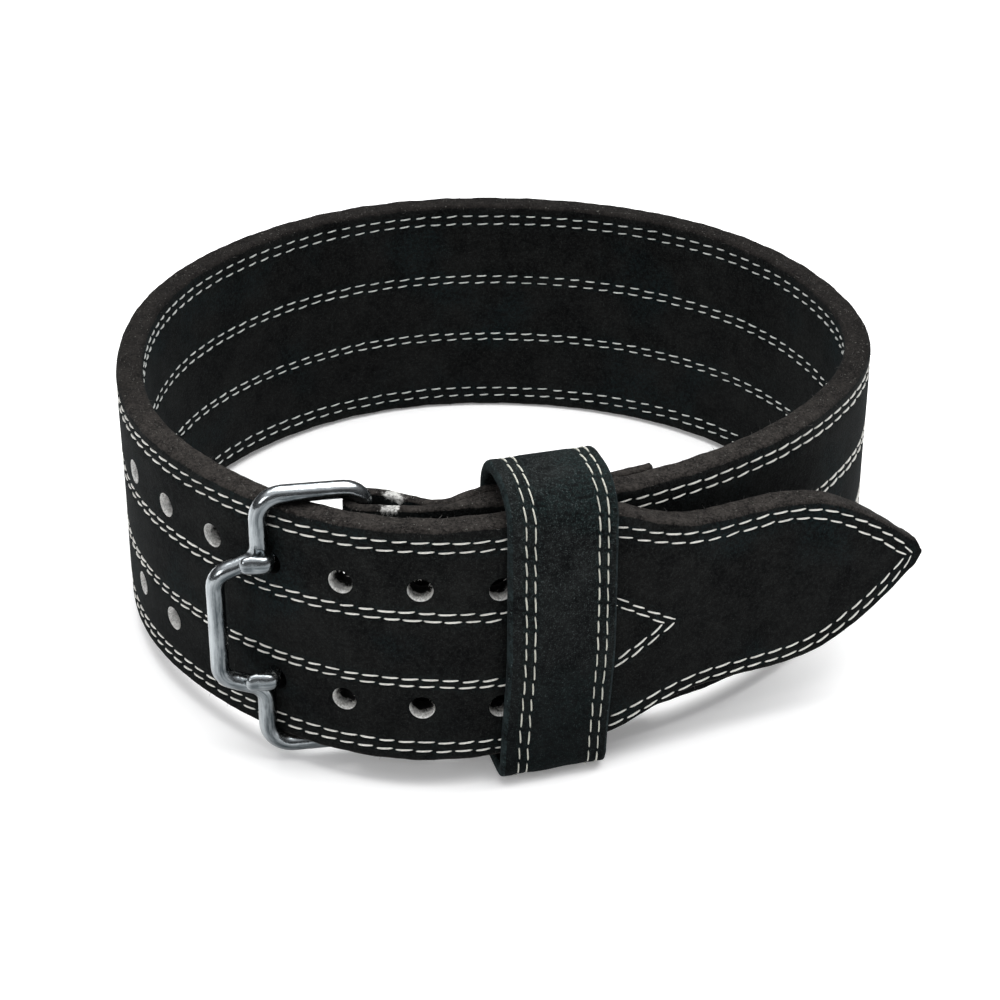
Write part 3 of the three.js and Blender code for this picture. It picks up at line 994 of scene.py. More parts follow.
@dataclass
class Strap:
    """The long strap: two suede faces, raw edges, punched holes and low channels under its stitching."""

    winding: Winding
    hole_angle: float
    tail_length: float = 142.0
    tip_half_width: float = 1.0
    skive_length: float = 14.0
    edge_round: float = 2.3
    station_step: float = 2.8
    channel_depth: float = 0.55
    channel_width: float = 1.15
    puff: float = 0.3
    hole_diameter: float = 9.6
    hole_pitch: float = 30.0
    holes_before: int = 3
    holes_after: int = 4
    hole_sag: float = 2.2
    lip: float = 0.7
    edge_margin: float = 9.7
    seam_rows: tuple[float, ...] = (5.2, 9.0, 33.6, 36.5, 62.5, 65.8, 92.6, 96.4)
    seam_steps: tuple[float, ...] = (-1.5, -0.75, 0, 0.75, 1.5)
    line_gap: float = 3.0
    tip_steps: tuple[float, ...] = (7, 5.2, 3.7, 2.5, 1.5, 0.8, 0.3, 0.0)
    tip_length: float = 9.0
    hole_sides: int = 36

    def __post_init__(self) -> None:
        """Works out where the strap starts, narrows and ends."""
        self.start = self.winding.length_at(SKIVE_ANGLE)
        self.end = float(self.winding.lengths[-1])
        self.shoulder = self.end - self.tail_length
        self.widths = Curve([row.back for row in TAIL_WIDTHS], [row.half for row in TAIL_WIDTHS])
        self.seams = SeamPlan(self).lines()
        points = np.vstack(self.seams)
        self.seam_tree = KDTree(len(points))
        for i, (length, height) in enumerate(points):
            self.seam_tree.insert((length, height, 0), i)
        self.seam_tree.balance()

    def half_width(self, length: float | np.ndarray) -> np.ndarray:
        """Works out how wide the strap is.

        Args:
            length: Length along it.

        Returns:
            Half its width there.
        """
        share = np.clip((self.end - np.asarray(length, float)) / self.tail_length, 0, 1)
        half = np.minimum(1, self.widths(share)) * MIDDLE
        return np.where(share >= 1, MIDDLE, np.maximum(half, self.tip_half_width))

    def sag(self, length: float | np.ndarray) -> np.ndarray:
        """Share of the sag near the keeper, where the rows and the holes run a little low."""
        begin = smooth_step(self.shoulder - 68, self.shoulder - 34, length)
        return begin * (1 - smooth_step(self.shoulder + 20, self.shoulder + 90, length))

    def thickness(self, length: float | np.ndarray) -> np.ndarray:
        """Thickness at a length: it is split thin at its folded end."""
        share = np.clip((np.asarray(length, float) - self.start) / self.skive_length, 0, 1)
        return PLY_THICK + (STRAP_THICK - PLY_THICK) * share

    def height_at(self, length: float, height: float) -> float:
        """Height on the narrowing tail for a height on the full strap.

        Lines close to an edge keep their distance from it, and the rest draw together.

        Args:
            length: Length along the strap.
            height: Height where the strap is full width.

        Returns:
            The height at that length.
        """
        half = float(self.half_width(length))
        half -= min(self.edge_round, half * 0.48)
        margin = self.edge_margin
        narrowing = float(smooth_step(self.shoulder, self.shoulder + 30, length))
        kept = margin * min(1 - 0.35 * narrowing, half / (2 * margin))
        offset = abs(height - MIDDLE)
        full = MIDDLE - self.edge_round
        if full - offset <= margin:
            offset = half - (full - offset) * kept / margin
        else:
            offset = (half - kept) * offset / (full - margin)
        return MIDDLE + math.copysign(offset, height - MIDDLE)

    def seam_share(self, length: float, height: float) -> float:
        """How much of a stitched channel lies at a place, from 0 to 1."""
        _, _, gap = self.seam_tree.find((length, height, 0))
        return math.exp(-((gap / self.channel_width) ** 2))

    def relief(self, length: float, height: float, face: Face) -> tuple[float, float]:
        """Low relief of a face.

        Args:
            length: Length along the strap.
            height: Height on it.
            face: Which face.

        Returns:
            How far the surface stands out, and the share of a channel there.
        """
        seam = self.seam_share(length, height)
        share = abs(height - MIDDLE) / MIDDLE
        if face is Face.OUTER:
            phases = length * 0.061 + height * 0.083, length * 0.137 - height * 0.051 + 1.7
        else:
            phases = length * 0.083 - height * 0.07 + 0.6, length * 0.029 + height * 0.11
        wave = 0.5 * math.sin(phases[0]) + 0.5 * math.sin(phases[1])
        return self.puff * wave * (1 - share**4) * 0.6 - self.channel_depth * seam, seam

    def face_heights(self) -> list[float]:
        """Heights of the mesh's lines across a face, close together under the stitching.

        Returns:
            The heights, from the foot up.
        """
        near_seams = {round(row + step, 2) for row in self.seam_rows for step in self.seam_steps}
        lines = [self.edge_round]
        for height in (*sorted(near_seams), STRAP_WIDTH - self.edge_round):
            last = lines[-1]
            gap = height - last
            if gap < 0.5:
                continue
            extra = int(gap // self.line_gap)
            lines += [last + gap * k / (extra + 1) for k in range(1, extra + 1)]
            lines.append(height)
        lines[-1] = STRAP_WIDTH - self.edge_round
        return lines

    def stations(self) -> np.ndarray:
        """Lengths at which the strap's section is drawn."""
        last = self.end - self.tip_length
        main = np.linspace(self.start, last, round((last - self.start) / self.station_step))
        return np.concatenate((main, self.end - np.array(self.tip_steps)))

    def body(self) -> bmesh.types.BMesh:
        """The strap before its holes are punched.

        Returns:
            The closed body, with its edge, seam and hole shade marks.
        """
        lines = self.face_heights()
        places, edges, seams = [], [], []
        for length in self.stations():
            half = float(self.half_width(length))
            thick = float(self.thickness(length))
            rounding = min(self.edge_round, half * 0.48, thick * 0.3)
            fray = 0.22 * math.sin(length * 0.31) + 0.16 * math.sin(length * 0.83 + 2)
            fray = fray + 0.12 * math.sin(length * 1.9)
            top = MIDDLE + half + fray * 0.6
            foot = MIDDLE - half - 0.5 * fray
            section = []
            for height in lines:
                z = min(max(self.height_at(length, height), foot + rounding), top - rounding)
                proud, seam = self.relief(length, z, Face.OUTER)
                section.append((-proud, z, 0.0, seam))
            for depth, z in arc((rounding, top - rounding), rounding, 180, 90, 5)[1:]:
                section.append((depth, z, min(1.0, (z - top + rounding) / rounding * 1.3), 0.0))
            for share in (0.25, 0.5, 0.75):
                depth = rounding + (thick - 2 * rounding) * share
                section.append((depth, top + 0.12 * math.sin(length * 0.21 + share * 9), 1.0, 0.0))
            for depth, z in arc((thick - rounding, top - rounding), rounding, 90, 0, 5)[:-1]:
                section.append((depth, z, min(1.0, (z - top + rounding) / rounding * 1.3), 0.0))
            for height in reversed(lines):
                z = min(max(self.height_at(length, height), foot + rounding), top - rounding)
                proud, seam = self.relief(length, z, Face.INNER)
                section.append((thick + proud, z, 0.0, seam))
            for depth, z in arc((thick - rounding, foot + rounding), rounding, 0, -90, 5)[1:]:
                section.append((depth, z, min(1.0, (foot + rounding - z) / rounding * 1.3), 0.0))
            for share in (0.75, 0.5, 0.25):
                section.append((rounding + (thick - 2 * rounding) * share, foot, 1.0, 0.0))
            for depth, z in arc((rounding, foot + rounding), rounding, 270, 180, 5)[:-1]:
                section.append((depth, z, min(1.0, (foot + rounding - z) / rounding * 1.3), 0.0))
            section.append(section[0])
            table = np.array(section)
            places.append(self.winding.place(length, table[:, 0], table[:, 1]))
            edges.append(table[:, 2])
            seams.append(table[:, 3])
        marks = {"edge": np.array(edges), "seam": np.array(seams)}
        return grid_body(np.array(places), {**marks, "hole_shade": np.zeros_like(marks["edge"])})

    def hole_places(self) -> list[tuple[float, float, bool]]:
        """Finds the holes, in columns of two.

        Returns:
            Length and height of each, and whether a prong fills it.
        """
        here = self.winding.length_at(self.hole_angle)
        found = []
        for i in range(-self.holes_before, self.holes_after + 1):
            length = here + i * self.hole_pitch
            middle = MIDDLE - self.hole_sag * float(self.sag(length))
            found += [(length, middle + side * HOLE_ROW_SPACING / 2, i == 0) for side in (-1, 1)]
        return found

    def hole_axis(self, length: float, height: float) -> tuple[Vector, Vector]:
        """A hole's middle, half way through the strap, and its way out."""
        _, out = self.winding.face(length)
        middle = self.winding.place(length, STRAP_THICK / 2, height)
        return Vector(middle), Vector((out[0], out[1], 0))

    def punch(self) -> bmesh.types.BMesh:
        """Makes what the holes are cut with.

        Returns:
            One body that fills all the holes.
        """
        tool = bmesh.new()
        for length, height, _ in self.hole_places():
            middle, out = self.hole_axis(length, height)
            turn = out.to_track_quat("Z", "Y").to_matrix().to_4x4()
            radius = self.hole_diameter / 2
            bmesh.ops.create_cone(
                tool,
                cap_ends=True,
                segments=self.hole_sides,
                radius1=radius * 0.97,
                radius2=radius,
                depth=STRAP_THICK + 1.1,
                matrix=Matrix.Translation(middle) @ turn,
            )
        return tool

    def dress_holes(self, body: bmesh.types.BMesh) -> None:
        """Rounds the lips of the holes, gives their walls the raw finish and marks their painted shade.

        Args:
            body: The punched strap.
        """
        radius = self.hole_diameter / 2
        holes = self.hole_places()
        tree = KDTree(len(holes))
        axes = [self.hole_axis(length, height) for length, height, _ in holes]
        for i, (middle, _) in enumerate(axes):
            tree.insert(middle, i)
        tree.balance()
        hole_shade = body.verts.layers.float["hole_shade"]
        filled = [row[2] for row in holes]
        for part in body.faces:
            spot = part.calc_center_median()
            _, i, gap = tree.find(spot)
            if gap > radius + STRAP_THICK:
                continue
            middle, out = axes[i]
            offset = spot - middle
            away = (offset - out * offset.dot(out)).length
            if away < radius + 0.1 and abs(part.normal.dot(out)) < 0.5:
                part.material_index = 1
                # Painted shade mark: 0 at the outer face rising to 1 at the inner face, and 1 all through a
                # hole that a prong fills.
                for vert in part.verts:
                    vert[hole_shade] = 1.0 if filled[i] else 0.5 - (vert.co - middle).dot(out) / STRAP_THICK
        rims = [edge for edge in body.edges if len({part.material_index for part in edge.link_faces}) == 2]
        bmesh.ops.bevel(
            body,
            geom=rims,
            offset=self.lip,
            offset_type="OFFSET",
            segments=2,
            profile=0.5,
            affect="EDGES",
            material=-1,
            clamp_overlap=True,
        )

    def build(self, placement: Placement) -> bpy.types.Object:
        """Builds and dresses the strap.

        Args:
            placement: Takes it to the frame.

        Returns:
            The piece.
        """
        body = cut_away(self.body(), self.punch())
        self.dress_holes(body)
        return finish_piece("strap", body, placement, (STRAP_SUEDE, RAW_HIDE), ("belt_strap",))


# The buckle


@dataclass
class Buckle:
    """The wire frame, bent with a step so that its middle stands past its side bars, and its two prongs."""

    winding: Winding
    wire_radius: float = 3.5
    reach: float = 39.4
    bump: float = 16.9
    slack: float = 0.5
    side_corner: float = 9.5
    heel_corner: float = 8.0
    bump_corner: float = 7.0
    bump_half_height: float = 22.4
    bump_step: float = 6.5
    prong_radius: float = 3.1
    eye_wall: float = 2.4
    eye_round: float = 0.8
    eye_steps: int = 48
    wire_step: float = 1.6
    overhang: float = 4.4
    hole_inset: float = 2.6
    prong_rise: float = 3.3
    prong_flat: float = 0.68
    sides: int = 28
    corner_steps: int = 12

    def __post_init__(self) -> None:
        """Finds the heel bar and turns the frame out until its side bars clear the strap."""
        behind = self.wire_radius + CLEARANCE + PLY_THICK
        radius = float(self.winding.radius(HEEL_ANGLE + TURN)) - STRAP_THICK - LAYER_GAP - behind
        self.heel = polar(HEEL_ANGLE, radius)
        low, high = -40.0, 60.0
        for _ in range(40):
            middle = (low + high) / 2
            low, high = (low, middle) if self.clears(middle) else (middle, high)
        self.way = polar(180 + high, 1.0)
        self.out = np.array((-self.way[1], self.way[0]))
        self.foot = -self.wire_radius - CLEARANCE
        self.head = STRAP_WIDTH + self.slack + self.wire_radius + CLEARANCE
        self.middle = (self.foot + self.head) / 2
        exit_point = self.point(self.reach - self.hole_inset, 0, 0)
        self.hole_angle = math.degrees(math.atan2(exit_point[1], exit_point[0])) + TURN

    def clears(self, turn: float) -> bool:
        """Tries a turn of the frame.

        Args:
            turn: How far it is turned out, in degrees.

        Returns:
            Whether its side bars lie clear of the strap's face.
        """
        bar = self.heel + polar(180 + turn, self.reach)
        angle = math.degrees(math.atan2(bar[1], bar[0])) % TURN
        gaps = np.linalg.norm(self.winding.at(np.arange(angle - 12, angle + 12, 0.25)) - bar, axis=1)
        outside = np.linalg.norm(bar) > self.winding.radius(angle)
        return bool(outside and gaps.min() >= self.wire_radius + CLEARANCE)

    def point(self, reach: float, out: float, height: float) -> np.ndarray:
        """Point of the frame: reach from the heel bar, way out of its plane, and height."""
        plan = self.heel + self.way * reach + self.out * out
        return np.array((plan[0], plan[1], height))

    def outline(self) -> np.ndarray:
        """Draws the wire from corner to corner.

        Returns:
            Its middle line.
        """
        far = self.reach + self.bump
        inner = self.bump_half_height
        outer = inner + self.bump_step
        corners = (
            (0, self.foot, self.heel_corner),
            (self.reach, self.foot, self.side_corner),
            (self.reach, self.middle - outer, self.bump_corner),
            (far, self.middle - inner, self.bump_corner),
            (far, self.middle + inner, self.bump_corner),
            (self.reach, self.middle + outer, self.bump_corner),
            (self.reach, self.head, self.side_corner),
            (0, self.head, self.heel_corner),
        )
        found = []
        for i, (x, z, radius) in enumerate(corners):
            here = np.array((x, z))
            back = unit(np.array(corners[i - 1][:2]) - here)
            ahead = unit(np.array(corners[(i + 1) % len(corners)][:2]) - here)
            half = math.acos(float(np.clip(back @ ahead, -1, 1))) / 2
            centre = here + unit(back + ahead) * radius / math.sin(half)
            start = here + back * radius / math.tan(half) - centre
            end = here + ahead * radius / math.tan(half) - centre
            sweep = math.atan2(start[0] * end[1] - start[1] * end[0], float(start @ end))
            for k in range(self.corner_steps + 1):
                turn = sweep * k / self.corner_steps
                spin = np.array(((math.cos(turn), -math.sin(turn)), (math.sin(turn), math.cos(turn))))
                found.append(spin @ start + centre)
        return np.array([self.point(x, 0, z) for x, z in found])

    def frame_places(self) -> np.ndarray:
        """Sweeps the wire.

        Returns:
            Its mesh's corners, by column and row.
        """
        centres = spaced(np.vstack((self.outline(), self.outline()[:1])), self.wire_step)[:-1]
        side = (self.out[0], self.out[1], 0)
        return tube_places(centres, np.full(len(centres), self.wire_radius), side, self.sides, True)

    def off_face(self, angle: float, lift: float, height: float) -> np.ndarray:
        """Point off the strap's outer face; a minus lift goes in."""
        return self.winding.place(self.winding.length_at(angle), -lift, height)

    def prong_path(self, height: float) -> tuple[np.ndarray, np.ndarray, np.ndarray]:
        """The middle line of a prong's bar, and its radius and flatness along it.

        Args:
            height: The prong's height.

        Returns:
            The points, the radii and the shares of the radius left across the bar.
        """
        rest = self.wire_radius + self.prong_radius * self.prong_flat + CLEARANCE
        tip = self.reach + self.overhang
        high = height + self.prong_rise
        behind = -STRAP_THICK - self.prong_radius - CLEARANCE
        hole = self.hole_angle
        spread = hole - HEEL_ANGLE - TURN
        near, far = self.point(self.eye_inner() - 1.4, 0, height), self.point(self.eye_outer(), 0, height)
        rows = (
            (near + (far - near) * 0.7, 0.8, 1),
            (self.off_face(HEEL_ANGLE + TURN + spread * 0.45, behind - 1, height), 1, 1),
            (self.off_face(hole - spread * 0.25, behind, height), 1, 1),
            (self.off_face(hole - spread * 0.04, behind * 0.86, height), 1, 1),
            (self.off_face(hole, -STRAP_THICK * 0.45, height + self.prong_rise * 0.3), 1, 1),
            (self.off_face(hole, 1.5, height + self.prong_rise * 0.7), 1, 0.95),
            (self.point(self.reach - 1.8, rest - 0.2, high), 1.16, 0.76),
            (self.point(tip - 1, rest, high), 1.24, self.prong_flat / 1.15),
            (self.point(tip + 1, rest, high), 1.1, self.prong_flat / 1.1),
        )
        route = np.array([row[0] for row in rows])
        centres, sizes = glide(route, [row[1] for row in rows])
        flats = glide(route, [row[2] for row in rows])[1]
        radii = sizes * self.prong_radius
        end, way = centres[-1], unit(centres[-1] - centres[-2])
        cap = np.radians(np.arange(15, 90, 15))
        centres = np.vstack((centres, end + way * (np.sin(cap) * radii[-1] * 0.75)[:, None]))
        flats = np.concatenate((flats, np.full(len(cap), flats[-1])))
        return centres, np.concatenate((radii, radii[-1] * np.cos(cap))), flats

    def eye_inner(self) -> float:
        """Inner radius of a prong's eye."""
        return self.wire_radius + CLEARANCE

    def eye_outer(self) -> float:
        """Outer radius of a prong's eye."""
        return self.eye_inner() + self.eye_wall

    def prong_body(self, height: float) -> bmesh.types.BMesh:
        """A prong: its bar, and the eye that turns on the heel bar.

        Args:
            height: The prong's height.

        Returns:
            The body.
        """
        centres, radii, flats = self.prong_path(height)
        bar = tube_places(centres, radii, (0, 0, 1), self.sides, False, flats)
        body = grid_body(bar, spread=bar_chart(bar))
        middle = (self.eye_inner() + self.eye_outer()) / 2
        wall, half, soft = self.eye_wall / 2, self.prong_radius, self.eye_round
        section = []
        for sx, sz, start in ((1, 1, 0), (-1, 1, 90), (-1, -1, 180), (1, -1, 270)):
            section += arc((sx * (wall - soft), sz * (half - soft)), soft, start, start + 90, 3)
        section.append(section[0])
        turns = np.linspace(0, TURN, self.eye_steps + 1)
        rings = [[(*(self.heel + polar(turn, middle + r)), height + z) for r, z in section] for turn in turns]
        eye = np.array(rings)
        return grid_body(eye, spread=bar_chart(eye), body=body)

    def prong_heights(self) -> tuple[float, float]:
        """Heights of the upper and the lower prong."""
        return self.middle + HOLE_ROW_SPACING / 2, self.middle - HOLE_ROW_SPACING / 2

    def build(self, placement: Placement) -> Iterator[bpy.types.Object]:
        """Builds and dresses the frame and the prongs.

        Args:
            placement: Takes them to the frame.

        Yields:
            Each piece.
        """
        wire = self.frame_places()
        body = grid_body(wire, spread=bar_chart(wire))
        yield finish_piece("buckle_wire", body, placement, (PLATED,), ("buckle_frame",))
        prongs = (("prong_top", "prong_upper"), ("prong_foot", "prong_lower"))
        for (name, node), height in zip(prongs, self.prong_heights()):
            yield finish_piece(name, self.prong_body(height), placement, (PLATED,), (node,))


# The folded end


@dataclass
class FoldedEnd:
    """The strap's end, split thin, taken round the heel bar and sewn back on the inner face."""

    winding: Winding
    strap: Strap
    buckle: Buckle
    flap_length: float = 82.0
    edge_round: float = 1.4
    heights: int = 34
    fluff_start: float = 1.0
    fluff_end: float = 21.0
    fluff_depth: float = 3.4
    fluff_share: float = 0.72
    step: float = 2.2

    def __post_init__(self) -> None:
        """Finds where the flap ends."""
        self.flap_end = self.strap.start + self.flap_length

    def flap_depth(self, length: float | np.ndarray) -> np.ndarray:
        """Depth of the flap's middle behind the strap's outer face."""
        return self.strap.thickness(length) + PLY_THICK / 2 - CLEARANCE

    def bend_radius(self) -> float:
        """Radius of the ply's middle round the heel bar."""
        return self.buckle.wire_radius + CLEARANCE + PLY_THICK / 2

    def centres(self) -> np.ndarray:
        """Draws the fold in plan, from the strap, round the heel bar, to the flap's end.

        Returns:
            Its middle line.
        """
        start = self.strap.start
        found = [self.winding.place(length, PLY_THICK / 2, 0)[:2] for length in (start + 6, start + 3, start)]
        found += [self.buckle.heel + polar(turn, self.bend_radius()) for turn in np.linspace(-90, -270, 13)]
        flap = np.linspace(start, self.flap_end, 30)
        found += [self.winding.place(length, self.flap_depth(length), 0)[:2] for length in flap]
        points = np.array(found)
        run = run_along(points)
        return spaced(Curve(run, points)(np.linspace(0, run[-1], 400)), self.step)

    def body(self) -> bmesh.types.BMesh:
        """The fold as one closed body.

        Returns:
            The body, with its edge, seam and fluff marks.
        """
        centres = self.centres()
        along = unit(np.gradient(centres, axis=0))
        outs = right_of(along)
        half, soft = PLY_THICK / 2, self.edge_round
        places, edges = [], []
        for k, (centre, out) in enumerate(zip(centres, outs)):
            squeeze = 1.0 - 0.15 * float(smooth_step(len(centres) - 3, len(centres) - 1, k))
            fray = 0.3 * math.sin(k * 1.3) + 0.2 * math.sin(k * 2.9 + 1)
            low, high = -0.2 * fray, STRAP_WIDTH + 0.35 * fray
            section = []
            foot, top = low + soft, high - soft
            for side, begin, end, turn in ((1, foot, top, 0), (-1, top, foot, 180)):
                section += [(side * half, z, 0.0) for z in np.linspace(begin, end, self.heights)]
                near = arc((side * (half - soft), end), soft, turn, turn + 90, 3)
                far = arc((side * (soft - half), end), soft, turn + 90, turn + 180, 3)
                section += [(x, z, 1.0) for x, z in near[1:] + far[:-1]]
            section.append(section[0])
            places.append([(*(centre + out * x * squeeze), z) for x, z, _ in section])
            edges.append([mark for _, _, mark in section])
        spots, edge = np.array(places), np.array(edges)
        return grid_body(spots, {"edge": edge, "seam": np.zeros_like(edge), "fluff": self.fluff(spots)})

    def fluff(self, spots: np.ndarray) -> np.ndarray:
        """How frayed the fold is on its upper edge beside the heel bar.

        Args:
            spots: The fold's corners, by column and row.

        Returns:
            A share for each corner.
        """
        ahead = spots[:, :, 0] - self.buckle.heel[0]
        share = smooth_step(self.fluff_start, self.fluff_start + 7, ahead)
        share = share * (1 - smooth_step(self.fluff_end - 10, self.fluff_end, ahead))
        share = share * smooth_step(STRAP_WIDTH - self.fluff_depth, STRAP_WIDTH - 0.8, spots[:, :, 2])
        past_bar = np.arange(len(spots)) * self.step > 6 + math.pi * self.bend_radius()
        return share * np.where(past_bar, self.fluff_share, 0.0)[:, None]

    def slots(self) -> bmesh.types.BMesh:
        """Makes what the fold is cut open with, for the prongs' eyes.

        Returns:
            One body of two blocks.
        """
        tool = bmesh.new()
        outer = self.buckle.eye_outer()
        depth = outer + PLY_THICK + 2 * CLEARANCE
        turn = Matrix.Rotation(math.atan2(self.buckle.way[1], self.buckle.way[0]), 4, "Z")
        wide, high = 2 * outer + 2 * CLEARANCE, 2 * self.buckle.prong_radius + 4 * CLEARANCE
        size = Matrix.Diagonal((depth * 2, wide, high, 1))
        for height in self.buckle.prong_heights():
            middle = self.buckle.point(depth - outer, 0, height)
            bmesh.ops.create_cube(tool, size=1.0, matrix=Matrix.Translation(middle) @ turn @ size)
        return tool

    def build(self, placement: Placement) -> bpy.types.Object:
        """Builds and dresses the fold.

        Args:
            placement: Takes it to the frame.

        Returns:
            The piece.
        """
        body = cut_away(self.body(), self.slots())
        return finish_piece("strap_fold", body, placement, (STRAP_SUEDE,))


# The keeper


@dataclass
class Keeper:
    """The wide suede band that holds the tail, bent to the strap's curve."""

    winding: Winding
    width: float = KEEPER_WIDTH
    thick: float = KEEPER_THICK
    drop: float = KEEPER_DROP
    head: float = 9.0
    top_round: float = 12.0
    foot_round: float = 3.0
    lip_round: float = 1.9
    crown: float = 0.9
    foot_shift: float = 2.7
    stitch_offsets: tuple[float, ...] = (6.3, 9.7, 34.0, 37.4)
    edge_share: float = 0.6
    channel_depth: float = 0.45

    def __post_init__(self) -> None:
        """Finds the keeper's place along the strap and the depth inside it."""
        self.middle = self.winding.length_at(KEEPER_ANGLE + TURN)
        self.first = self.middle - self.width / 2
        self.last = self.middle + self.width / 2
        angles = np.arange(self.winding.angle_at(self.first), self.winding.angle_at(self.last), 1.0)
        stack = self.winding.radius(angles) - self.winding.radius(angles - TURN) + STRAP_THICK + PLY_THICK
        self.inside = float(stack.max()) + 2 * CLEARANCE

    def loop(self) -> tuple[np.ndarray, np.ndarray]:
        """The inner line of the band and its way out, as depth and height.

        Returns:
            The points and the unit vectors, with the first point repeated at the end.
        """
        low, high = -self.drop, STRAP_WIDTH + self.head
        foot, top = self.foot_round, self.top_round
        corners = (
            ((foot, low + foot), foot, 180, 270),
            ((self.inside - foot, low + foot), foot, 270, 360),
            ((self.inside - top, high - top), top, 0, 90),
            ((top, high - top), top, 90, 180),
        )
        line = [point for corner in corners for point in arc(*corner, 12)]
        points = spaced(np.array([*line, line[0]]), 1.9)[:-1]
        along = unit(np.roll(points, -1, 0) - np.roll(points, 1, 0))
        outs = right_of(along)
        for _ in range(2):
            outs = unit(np.roll(outs, 1, 0) + 2 * outs + np.roll(outs, -1, 0))
        return np.vstack((points, points[:1])), np.vstack((outs, outs[:1]))

    def swell(self, height: float, offset: float) -> float:
        """Works out how far the front of the band stands out.

        Args:
            height: Height on it.
            offset: Way across it.

        Returns:
            How far it stands out there.
        """
        up = math.cos((height - MIDDLE) / (STRAP_WIDTH + 2 * self.head) * math.pi)
        across = 1 - (2 * offset / self.width - 1) ** 4
        ripple = 0.25 * math.sin(height * 0.11 + offset * 0.2)
        ripple += 0.2 * math.sin(height * 0.23 - offset * 0.31 + 2)
        return self.crown * max(up, 0) * across + ripple * across

    def channel(self, offset: float) -> float:
        """Share of a stitched channel at an offset across the band."""
        gap = min(abs(offset - line) for line in self.stitch_offsets)
        return math.exp(-((gap / 1.3) ** 2))

    def place(self, offset: float, depth: float, height: float) -> np.ndarray:
        """Point of the band: way across it, depth behind the strap's face with its clearance, and height."""
        shift = self.foot_shift * (1 - float(smooth_step(-self.drop, MIDDLE, height)))
        return self.winding.place(self.first + offset - shift, depth - CLEARANCE, height)

    def section(self) -> list[tuple[float, float, float]]:
        """Draws the band's section.

        Returns:
            Way across it, share of its thickness, and edge mark, at each corner.
        """
        soft, wide, high = self.lip_round, self.width - self.lip_round, self.thick - self.lip_round
        near_seams = {line + step for line in self.stitch_offsets for step in (-1.2, -0.6, 0, 0.6, 1.2)}
        across = sorted({*np.linspace(soft, wide, 18), *near_seams})
        across = [x for x in across if soft <= x <= wide]
        last = arc((wide, high), soft, 90, 0, 4)[1:] + arc((wide, soft), soft, 0, -90, 4)
        first = arc((soft, soft), soft, 270, 180, 4) + arc((soft, high), soft, 180, 90, 4)[:-1]
        found = [(x, self.thick, 0.0) for x in across] + [(x, t, self.edge_share) for x, t in last]
        found += [(x, 0.0, 0.0) for x in reversed(across[::3])] + [(x, t, self.edge_share) for x, t in first]
        return [*found, found[0]]

    def build(self, placement: Placement) -> bpy.types.Object:
        """Builds and dresses the keeper.

        Args:
            placement: Takes it to the frame.

        Returns:
            The piece.
        """
        points, outs = self.loop()
        section = self.section()
        places, edges, seams = [], [], []
        for (depth, height), (side, up) in zip(points, outs):
            front = max(0.0, -side)
            ring = []
            for offset, share, mark in section:
                proud = share
                seam = 0.0
                if share > self.thick * 0.6:
                    seam = self.channel(offset) if mark == 0 else 0.0
                    proud += front * self.swell(height, offset) - self.channel_depth * seam
                ring.append(self.place(offset, depth + side * proud, height + up * proud))
                edges.append(mark)
                seams.append(seam)
            places.append(ring)
        shape = (len(points), len(section))
        marks = {"edge": np.array(edges).reshape(shape), "seam": np.array(seams).reshape(shape)}
        body = grid_body(np.array(places), marks)
        return finish_piece("keeper_band", body, placement, (KEEPER_SUEDE,), ("keeper",))


# The stitching


@dataclass(frozen=True)
class Seat:
    """Where one small piece sits: its middle, the way along it and the way out of the surface."""

    spot: Vector
    along: Vector
    out: Vector


def seat_matrix(seat: Seat, tilt: float, size: Sequence[float]) -> Matrix:
    """Matrix that sets a small piece on its seat.

    Args:
        seat: The seat.
        tilt: How far it turns on the surface, in radians.
        size: Its length, width and height.

    Returns:
        The matrix.
    """
    out = seat.out.normalized()
    along = (seat.along - out * seat.along.dot(out)).normalized()
    across = out.cross(along)
    turned = along * math.cos(tilt) + across * math.sin(tilt)
    across = out.cross(turned)
    matrix = Matrix((turned * size[0], across * size[1], out * size[2])).transposed().to_4x4()
    matrix.translation = seat.spot
    return matrix


def scatter(template: bpy.types.Mesh, matrices: Iterable[Matrix]) -> bmesh.types.BMesh:
    """One body of many copies of a small mesh.

    Args:
        template: The mesh, which is used up.
        matrices: Where each copy goes.

    Returns:
        The body.
    """
    body = bmesh.new()
    for matrix in matrices:
        count = len(body.verts)
        body.from_mesh(template)
        body.verts.ensure_lookup_table()
        bmesh.ops.transform(body, matrix=matrix, verts=body.verts[count:])
    bpy.data.meshes.remove(template)
    return body


